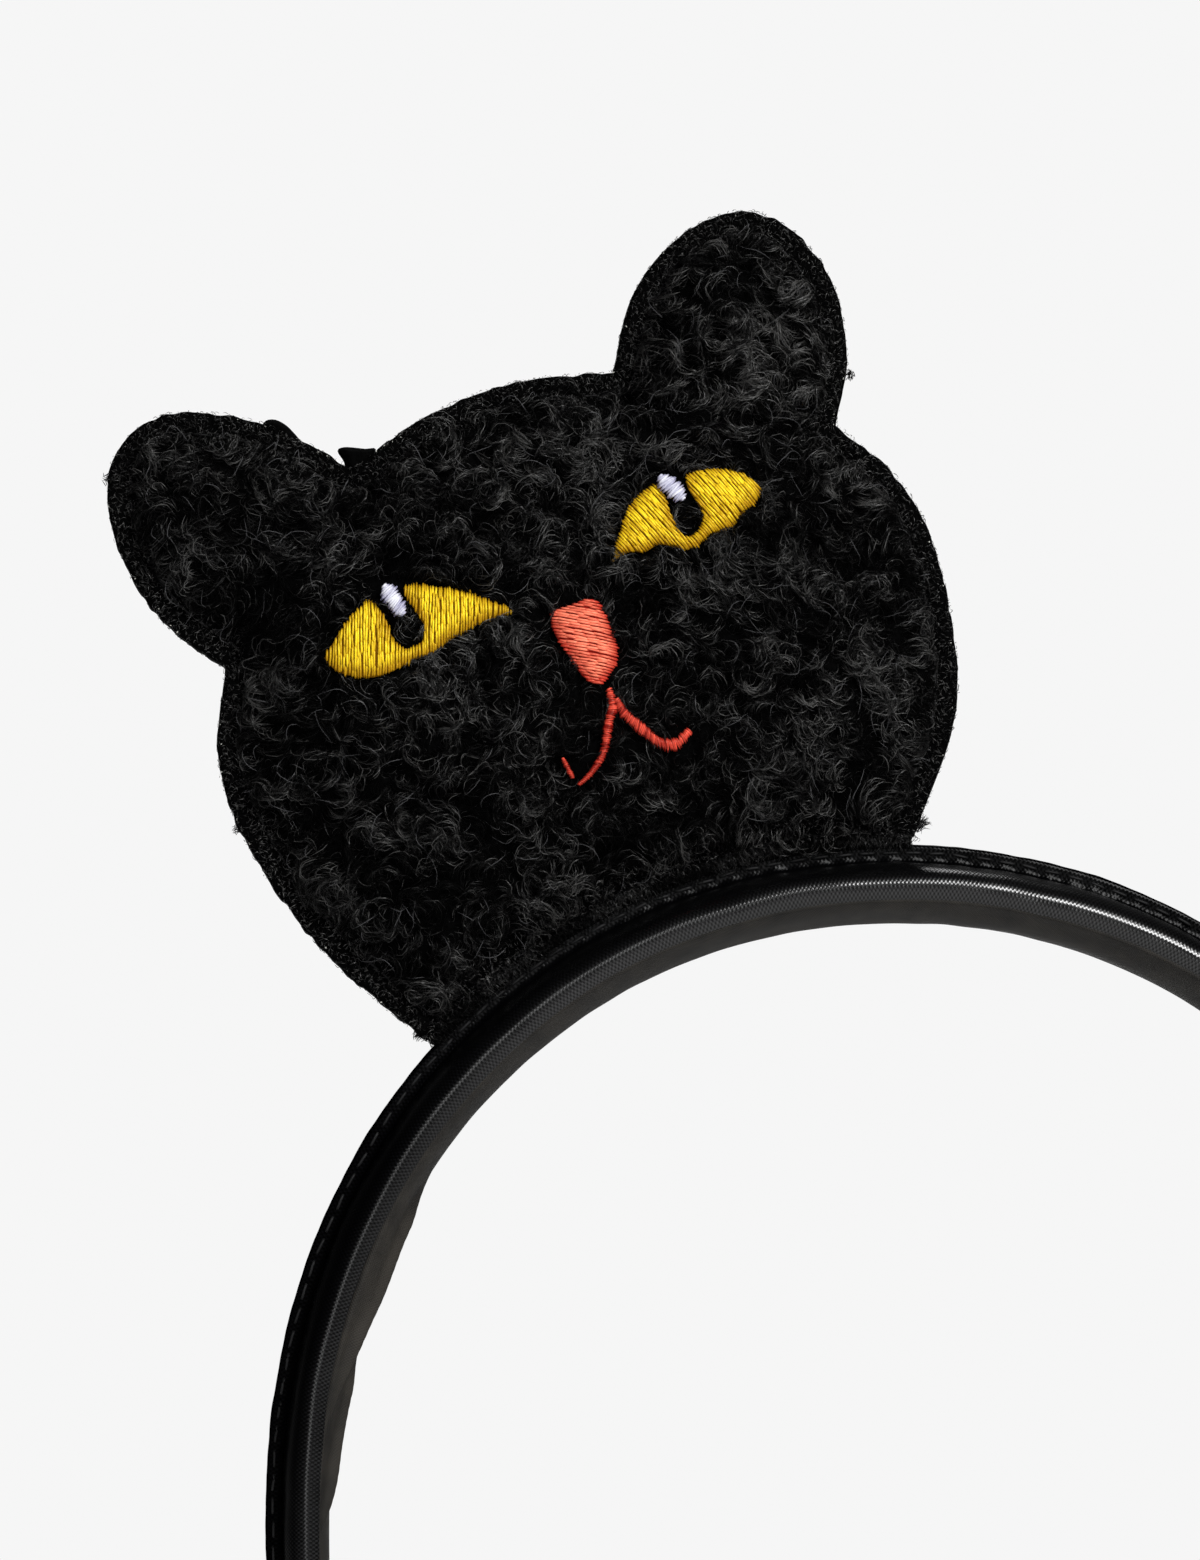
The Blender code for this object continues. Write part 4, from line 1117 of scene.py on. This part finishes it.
def build_pile(surfaces):
    """The curly pile, in pieces of one shade and at most some thousand fibres, and all that lies over it."""
    most = 5200
    for face, side, (smooth, tufted), spacing, strands in (("front", -1, surfaces[0], 1.6, 25),
                                                            ("back", 1, surfaces[1], 2.2, 18)):
        noise = np.random.default_rng(91 if side < 0 else 92)
        spots = thinned(noise, spacing, 0.4)
        if side < 0:
            spots = spots[to_patch(*spots.T) > 0.25]
        lines = lock_strands(noise, spots, strands, tufted, side)
        total = len(lines[0])
        across, up = spots.T
        light = 1.05 * field(85, 3.4)(across, up) + noise.normal(0, 0.36, len(spots)) - 0.38
        # Painted light: the fibres are picked paler towards the top of the head and towards its right side,
        # where the key light falls.
        light = light + 0.22 * step_up(22, 60, up) + 0.50 * step_up(-40, 25, across) - 0.15
        light = np.repeat(light, strands) + noise.normal(0, 0.84, total)
        shade = np.digitize(light, (-0.35, 0.50, 1.15))
        radius = noise.uniform(0.021, 0.033, total) + 0.0035 * shade
        for index, finish in enumerate(FIBRE_SHADES):
            chosen = np.flatnonzero(shade == index)
            for part, some in enumerate(np.array_split(chosen, len(chosen) // most + 1)):
                add_strands(f"pile_{face}_{index + 1}_{part + 1}", [line[some] for line in lines], radius[some],
                            finish, side)
        build_underfur(face, side, noise, tufted)
        build_border(face, side, noise, tufted)
        build_strays(face, side, noise, tufted)
        build_topstitch(face, side, noise, smooth)
        build_flecks(face, side, noise, tufted)
    build_edge_tufts()


def build_underfur(face, side, noise, heights):
    """Short dark fuzz between the locks, and round the embroidery."""
    spots = thinned(noise, 0.76 if side < 0 else 1.1, 0.6)
    if side < 0:
        spots = spots[to_patch(*spots.T) > 0.12]
    count, steps = len(spots), 5
    s = np.linspace(0, 1, steps)[None]
    bend = noise.uniform(1.4, 3.4, (count, 1)) * noise.choice((-1, 1), (count, 1))
    heading = noise.uniform(0, 2 * pi, (count, 1)) + bend * s
    length = noise.uniform(0.9, 2.1, (count, 1)) / steps
    across, up = wandering(spots, heading, length)
    above = 0.04 + noise.uniform(0.15, 0.55, (count, 1)) * np.sin(pi * (0.05 + 0.85 * s))
    lines = surface_place(heights, across, up, above)
    radius = noise.uniform(0.024, 0.040, count)
    shade = noise.choice(3, count, p=(0.35, 0.45, 0.20))
    add_shades(f"pile_under_{face}", lines, radius, shade, FIBRE_SHADES[:3], side)


def build_border(face, side, noise, heights):
    """Short fibres, pressed flat over the border, and a fringe at the cut edge."""
    grid = staggered(OUTLINE, 0.37)
    grid = grid + noise.normal(0, 0.14, grid.shape)
    spots = grid[(to_edge(*grid.T) > 0.05) & ((past_seam(*grid.T) < 1.0) | (to_base(*grid.T) < 2.6))]
    count, steps = len(spots), 4
    s = np.linspace(0, 1, steps)[None]
    low = step_up(2.4, 0.6, to_base(*spots.T))[:, None]
    heading = noise.uniform(0, 2 * pi, (count, 1)) * (1 - low) + low * noise.normal(-pi / 2, 0.7, (count, 1))
    heading = heading + noise.uniform(-2.0, 2.0, (count, 1)) * s
    length = noise.uniform(0.4, 1.2, (count, 1)) / steps
    across, up = wandering(spots, heading, length)
    across, up = kept_in(across, up, noise.uniform(-0.12, 0.1, (count, 1)))
    over = -np.minimum(to_edge(across, up), 0)
    above = noise.uniform(0.15, 0.85, (count, 1)) * np.sin(pi * (0.1 + 0.8 * s)) * (1 + 0.8 * low)
    lines = surface_place(heights, across, up, above)
    lines = (lines[0], lines[1], np.maximum(lines[2] - 1.2 * over * (1 - low), 0.1))
    radius = noise.uniform(0.028, 0.050, count)
    shade = noise.choice(3, count, p=(0.12, 0.60, 0.28))
    add_shades(f"pile_border_{face}", lines, radius, shade, FIBRE_SHADES[1:], side)


def build_topstitch(face, side, noise, heights):
    """The black running stitches in the groove between the border and the stuffed part."""
    line = inset(SEAM_BORDER, BASE_BORDER, 0.3)
    line = line[to_base(*line.T) > 2.0]
    run = run_along(line)
    pitch, length, steps, sides = 2.3, 1.8, 7, 6
    starts = np.arange(0.4, run[-1] - 2.4, pitch)
    share = np.linspace(0, 1, steps)
    at = starts[:, None] + np.linspace(0, length, steps)
    across, up = np.interp(at, run, line[:, 0]), np.interp(at, run, line[:, 1])
    whole = np.abs(np.diff(across, axis=1)).max(axis=1) < 0.5
    bow = 0.16 * np.sin(pi * share) ** 0.6
    path = in_frame(across, side * (heights(across, up) + bow + 0.10), up)[whole]
    points, faces = tubes(path, np.full(path.shape[:2], 0.13), sides)
    tone = np.repeat(noise.uniform(0.3, 1, len(path)), steps * sides)
    on_head(mesh_object(f"topstitch_{face}", points, faces, SATIN_THREAD, tone=tone, sharp=None), "pile")


# Two torn flaps of the cut edge, as closed lines.
EDGE_FLAPS = [[(-13.4, 63.3), (-13.1, 64.7), (-13.3, 66.1), (-12.5, 66.2), (-11.4, 65.7), (-10.3, 65.1),
               (-9.2, 64.6), (-10.8, 63.2), (-12.4, 62.8)],
              [(-20.4, 71.9), (-19.5, 72.4), (-18.5, 72.1), (-17.7, 71.2), (-17.2, 70.1), (-16.9, 68.6),
               (-18.8, 69.0), (-20.4, 70.6)]]

# Small tufts that stick out of the cut edge: where, which way in degrees, how long, how many fibres.
EDGE_TUFTS = [((-12.2, 64.6), 118, 0.9, 90), ((-11.2, 64.3), 95, 0.8, 70), ((-18.7, 70.1), 105, 0.8, 90),
              ((39.3, 73.4), 130, 1.4, 50), ((-38.0, 73.0), 150, 0.9, 30), ((30.9, 1.2), 10, 1.7, 60),
              ((-30.0, 1.4), 200, 1.0, 40), ((-39.9, 30.6), 190, 0.8, 30), ((44.6, 52.0), 30, 0.8, 30)]


def build_edge_tufts():
    """The torn flaps and the tufts, on the middle plane."""
    noise = np.random.default_rng(131)
    steps = 6
    s = np.linspace(0, 1, steps)[None]
    lines = []
    for (across, up), angle, length, count in EDGE_TUFTS:
        heading = radians(angle) + noise.normal(0, 0.22, (count, 1)) + noise.normal(0, 0.5, (count, 1)) * s
        reach = length * noise.uniform(0.5, 1.1, (count, 1)) / (steps - 1)
        spread = noise.normal(0, 0.34, (2, count, 1))
        root = 1 - 0.8 * s
        lines.append((across + spread[0] * root + np.cumsum(reach * np.cos(heading), axis=1) - reach,
                      up + spread[1] * root + np.cumsum(reach * np.sin(heading), axis=1) - reach,
                      noise.uniform(-0.9, 0.9, (count, 1)) * (1 - 0.5 * s)))
    for index, flap in enumerate(EDGE_FLAPS):
        loop = closed_curve(flap, 3)
        places, triangles = divided(*filled(loop, 0.5))
        depth = 0.9 * step_up(-0.1, 0.8, edge_distance(places, loop)) + 0.25
        on_head(shell(f"edge_flap_{index + 1}", places, triangles, depth, -depth, -1, PILE_GROUND), "pile")
    lines = [np.vstack(part) for part in zip(*lines)]
    add_strands("edge_tufts", lines, noise.uniform(0.04, 0.065, len(lines[0])), FIBRE_SHADES[1], 1)


def build_flecks(face, side, noise, heights):
    """Pale specks of backing cloth that show along the cut edge."""
    count = 46
    chosen = noise.choice(len(UPPER), count, replace=False)
    start = UPPER[chosen] + inwards(UPPER)[chosen] * noise.uniform(0.05, 0.55, (count, 1))
    turn = noise.uniform(0, 2 * pi, count)
    step = np.column_stack((np.cos(turn), np.sin(turn))) * noise.uniform(0.10, 0.28, (count, 1))
    across, up = (start[:, axis:axis + 1] + step[:, axis:axis + 1] * (0, 0.5, 1) for axis in range(2))
    lines = (across, up, heights(across, up) + 0.08)
    add_strands(f"edge_flecks_{face}", lines, noise.uniform(0.05, 0.09, count), FLECK, side, sides=5)


def build_strays(face, side, noise, heights):
    """Loose fine fibres over the pile."""
    most, steps = 420 if side < 0 else 260, 10
    spots = thinned(noise, 2.4, 0.0)
    spots = spots[noise.choice(len(spots), min(most, len(spots)), replace=False)]
    if side < 0:
        spots = spots[to_patch(*spots.T) > 0.8]
    count = len(spots)
    s = np.linspace(0, 1, steps)[None]
    heading = noise.uniform(0, 2 * pi, (count, 1)) + noise.uniform(-2.6, 2.6, (count, 1)) * s
    length = noise.uniform(2.0, 5.0, (count, 1)) / steps
    across, up = wandering(spots, heading, length)
    above = 0.4 + noise.uniform(0.7, 1.7, (count, 1)) * np.sin(pi * (0.05 + 0.85 * s))
    keep = to_edge(across, up).min(axis=1) > 0.4
    if side < 0:
        keep &= to_patch(across, up).min(axis=1) > 0.1
    lines = [line[keep] for line in surface_place(heights, across, up, above)]
    add_strands(f"pile_strays_{face}", lines, noise.uniform(0.018, 0.028, keep.sum()), STRAY, side)


# --- the embroidery ---
def crossings(loop, origin, direction):
    """Where a straight line crosses a loop, as sorted distances along it."""
    normal = np.array((-direction[1], direction[0]))
    start, end = loop, np.roll(loop, -1, axis=0)
    a, b = (start - origin) @ normal, (end - origin) @ normal
    hit = (a > 0) != (b > 0)
    share = a[hit] / (a[hit] - b[hit])
    points = start[hit] + (end[hit] - start[hit]) * share[:, None]
    return np.sort((points - origin) @ direction)


def fill_stitches(noise, loop, angle, pitch, stitch):
    """Rows of stitches that fill a loop along one direction: an array of (start, end) places."""
    overlap = 0.55
    direction = np.array((cos(angle), sin(angle)))
    normal = np.array((-direction[1], direction[0]))
    reach = loop @ normal
    found = []
    for offset in np.arange(reach.min() + pitch / 2, reach.max(), pitch):
        origin = normal * (offset + noise.normal(0, 0.03))
        cuts = crossings(loop, origin, direction)
        for low, high in zip(cuts[::2], cuts[1::2]):
            low, high = low - abs(noise.normal(0, 0.16)), high + abs(noise.normal(0, 0.16))
            if high - low < 0.25:
                continue
            places = [low]
            if high - low > 1.5 * stitch:
                first = low + stitch * noise.uniform(0.3, 1.0)
                inner = np.arange(first, high - 0.45 * stitch, stitch)
                places += list(inner + noise.normal(0, 0.14, len(inner)))
            places.append(high)
            for a, b in zip(places, places[1:]):
                sway = normal * noise.normal(0, 0.05, (2, 1))
                found.append((origin + direction * (a - overlap / 2 * (a > low)) + sway[0],
                              origin + direction * (b + overlap / 2 * (b < high)) + sway[1]))
    return np.array(found)


class Raised:
    """A surface some distance over another, that sinks towards the edge of a loop."""

    def __init__(self, base, above, loop=None, sink=0.0):
        self.base, self.above, self.loop, self.sink = base, above, loop, sink

    def depth(self, across, up):
        return depth_in(np.column_stack((across.ravel(), up.ravel())), self.loop).reshape(across.shape)

    def __call__(self, across, up):
        height = self.base(across, up) + self.above
        if self.loop is not None:
            height = height - self.sink * (1 - step_up(-0.3, 1.5, self.depth(across, up)))
        return height


def add_stitches(name, noise, ends, base, radius, finish, slot, replaced, rise=0.16, tones=(0.45, 1.2),
                 painted_end_shade=(0.25, 0.25), darker_towards_bottom=None):
    """Threads between pairs of places, each curved up a little and down into the cloth at both ends."""
    steps, sides, count = 6, 7, len(ends)
    s = np.linspace(0, 1, steps)
    places = ends[:, :1] * (1 - s)[None, :, None] + ends[:, 1:] * s[None, :, None]
    across, up = places[..., 0], places[..., 1]
    arch = rise * (np.sin(pi * s) ** 0.6)[None] - 0.10 + noise.normal(0, 0.035, (count, 1))
    height = base(across, up) + arch
    path = in_frame(across, -height, up)
    taper = np.interp(s, (0, 0.2, 0.8, 1), (0.55, 1, 1, 0.55))
    size = radius * noise.uniform(0.85, 1.15, (count, 1)) * taper[None]
    points, faces = tubes(path, size, sides, flat=0.8, up=np.array((0.0, -1.0, 0.0)))
    # Painted shade: each thread is darker on its sides and underneath, and darker towards its ends, where it
    # dips into the cloth.
    around = np.clip(0.3 + 0.7 * np.sin(np.arange(sides) / sides * 2 * pi), 0, 1)
    tone = np.interp(s, (0, 0.25, 0.75, 1), (painted_end_shade[0], 1, 1, painted_end_shade[1]))[None, :, None] * around
    tone = (noise.uniform(*tones, (count, 1, 1)) + 0.25 * field(103, 1.5)(across, up)[..., None]) * tone
    # The threads grow darker towards the bottom, between the given heights.
    if darker_towards_bottom:
        tone = tone * np.interp(up, *darker_towards_bottom)[..., None]
    # Painted shade: stitches darken towards the edge of a filled shape, most of all along its lower edge.
    if base.loop is not None:
        tone = tone * (0.15 + 0.85 * step_up(-0.1, 1.3, base.depth(across, up - 0.35)))[..., None]
    on_head(mesh_object(name, points, faces, finish, tone=tone.ravel(), sharp=None), slot, replaced)


def add_underlay(name, loop, base, low, high, finish, slot):
    """The pad of threads under a filled shape."""
    places, triangles = divided(*filled(evenly(np.vstack((loop, loop[:1])), 0.7)[:-1], 0.9))
    bed = base(places[:, 0], places[:, 1])
    top = bed + low + (high - low) * step_up(-0.2, 1.4, edge_distance(places, loop))
    tone = np.full(2 * len(places), 0.5)
    on_head(shell(name, places, triangles, top, bed + low - 0.3, -1, finish, tone), slot)


def column(noise, route, width_start, width_end, pitch, angle, turn=0.0, blunt=0.6):
    """Short stitches side by side across a line, whose direction turns along it."""
    line = evenly(smooth_line(route), pitch)
    share = np.linspace(0, 1, len(line))
    rounding = blunt + (1 - blunt) * np.sin(pi * np.clip(0.5 * np.minimum(share, 1 - share) / 0.25, 0, 0.5))
    half = np.linspace(width_start, width_end, len(line)) * rounding / 2
    half = (half * noise.uniform(0.85, 1.12, len(line)))[:, None]
    own = angle + turn * share + noise.normal(0, 0.12, len(line))
    direction = np.column_stack((np.cos(own), np.sin(own)))
    return np.stack((line - half * direction, line + half * direction), axis=1)


def build_face(surfaces):
    """The eyes with their glints, the nose and the two curls of the mouth, all as single threads."""
    base = surfaces[0][0].softened(12)
    noise = np.random.default_rng(101)
    for name, loop, bar, angle, bar_angle in (("left_eye", LEFT_EYE, LEFT_BAR, radians(67), radians(23)),
                                              ("right_eye", RIGHT_EYE, RIGHT_BAR, radians(-72), radians(18))):
        loop = closed_curve(loop, 3)
        add_underlay(f"{name}_underlay", loop, base, 0.10, 0.75, GOLD_UNDER_SHADED, "gold_thread")
        add_stitches(f"{name}_threads", noise, fill_stitches(noise, loop, angle, 0.31, 1.5),
                     Raised(base, 0.95, loop, 0.45), 0.140, GOLD, "gold_thread", name)
        ends = column(noise, bar, 2.2, 2.1, 0.24, bar_angle, blunt=0.35)
        # The glints are darker and lavender towards their left ends: painted shade.
        add_stitches(f"{name}_glint", noise, ends, Raised(base, 1.05), 0.17, WHITE, "white_thread",
                     f"{name}_highlight", rise=0.45, tones=(0.4, 1.05), painted_end_shade=(0.0, 0.3))
    loop = closed_curve(NOSE, 3)
    add_underlay("nose_underlay", loop, base, 0.10, 0.85, CORAL_UNDER_SHADED, "coral_thread")
    add_stitches("nose_threads", noise, fill_stitches(noise, loop, radians(-33), 0.33, 1.2),
                 Raised(base, 1.05, loop, 0.60), 0.150, CORAL, "coral_thread", "nose")
    left = np.concatenate((column(noise, MOUTH_LEFT, 1.35, 0.75, 0.22, radians(-15), radians(-25)),
                           column(noise, MOUTH_LEFT_END, 0.8, 0.5, 0.24, radians(-15))))
    add_stitches("mouth_left_threads", noise, left, Raised(base, 0.50), 0.125, MOUTH_RED, "coral_thread",
                 "mouth_left_curl", rise=0.42, tones=(0.1, 1.1), darker_towards_bottom=((20.0, 26.0), (0.30, 1.0)))
    right = column(noise, MOUTH_RIGHT, 1.3, 1.5, 0.22, radians(15), radians(95))
    add_stitches("mouth_right_threads", noise, right, Raised(base, 0.55), 0.125, MOUTH_RED, "coral_thread",
                 "mouth_right_curl", rise=0.42, tones=(0.1, 0.95))


# --- the head's base ---
def seam_point(arc, depth, lift):
    """Points of the head's base: like band_point, but they keep their size along the band."""
    scale = band_scale(arc)
    return band_point(arc, depth / scale, (lift - FLANGE_TIP) / scale + FLANGE_TIP)


def build_base_seam():
    """The strip of pile cloth from the head to the flange, in short lengths."""
    lengths = 8
    arcs = np.linspace(HEAD_FEET[0] + 0.3, HEAD_FEET[1] - 0.3, lengths + 1)
    noise = np.random.default_rng(125)
    loop = np.array([(-0.92, 5.2), (-1.0, 5.8), (-1.0, 6.6), (-0.95, 7.0), (0.95, 7.0), (1.0, 6.6),
                     (1.0, 5.8), (0.92, 5.2), (0.84, 5.15), (0.84, 5.7), (-0.84, 5.7), (-0.84, 5.15)])
    for index, (start, end) in enumerate(zip(arcs, arcs[1:])):
        steps = np.linspace(start, end, 16)
        around = np.broadcast_to(steps[:, None], (len(steps), len(loop)))
        soft = 1 + 0.05 * field(121, 1.2)(around, np.broadcast_to(np.arange(len(loop)) * 1.1, around.shape))
        points = seam_point(around, loop[:, 0] * soft, loop[:, 1])
        flat = points.reshape(-1, 3)
        made = mesh_object(f"base_seam_{index + 1}", flat, turned_out(swept(points), flat), PILE_GROUND)
        middle = np.array((start + end) / 2)
        low, high = flange_point(middle, -0.2) * MM, flange_point(middle, BASE_GAP - 0.1) * MM
        for piece in (made, base_fuzz(noise, index, start, end)):
            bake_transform(piece)


def base_fuzz(noise, index, start, end):
    """Short pile over one length of the strip, which hangs over the flange's tip."""
    count, steps = 420, 5
    s = np.linspace(0, 1, steps)[None]
    side = noise.choice((-1.0, 1.0), (count, 1))
    arc = noise.uniform(start, end, (count, 1)) + noise.normal(0, 0.35, (count, 1)) * s
    lift = noise.uniform(5.9, 7.2, (count, 1)) - noise.uniform(0.5, 1.5, (count, 1)) * s
    depth = side * (0.95 + noise.uniform(0.15, 0.75, (count, 1)) * np.sin(pi * (0.08 + 0.80 * s)))
    arc = arc + noise.uniform(-0.5, 0.5, (count, 1)) * np.sin(pi * s)
    lines = seam_point(arc, depth, lift)
    points, faces = tubes(lines, np.broadcast_to(noise.uniform(0.024, 0.042, (count, 1)), arc.shape))
    return mesh_object(f"base_fuzz_{index + 1}", points, faces, FIBRE_SHADES[1 + index % 2], sharp=None)


build_camera()
build_lights()
build_floor()
build_band()
surfaces = surface_heights()
build_cushion(surfaces)
build_pile(surfaces)
build_face(surfaces)
build_base_seam()
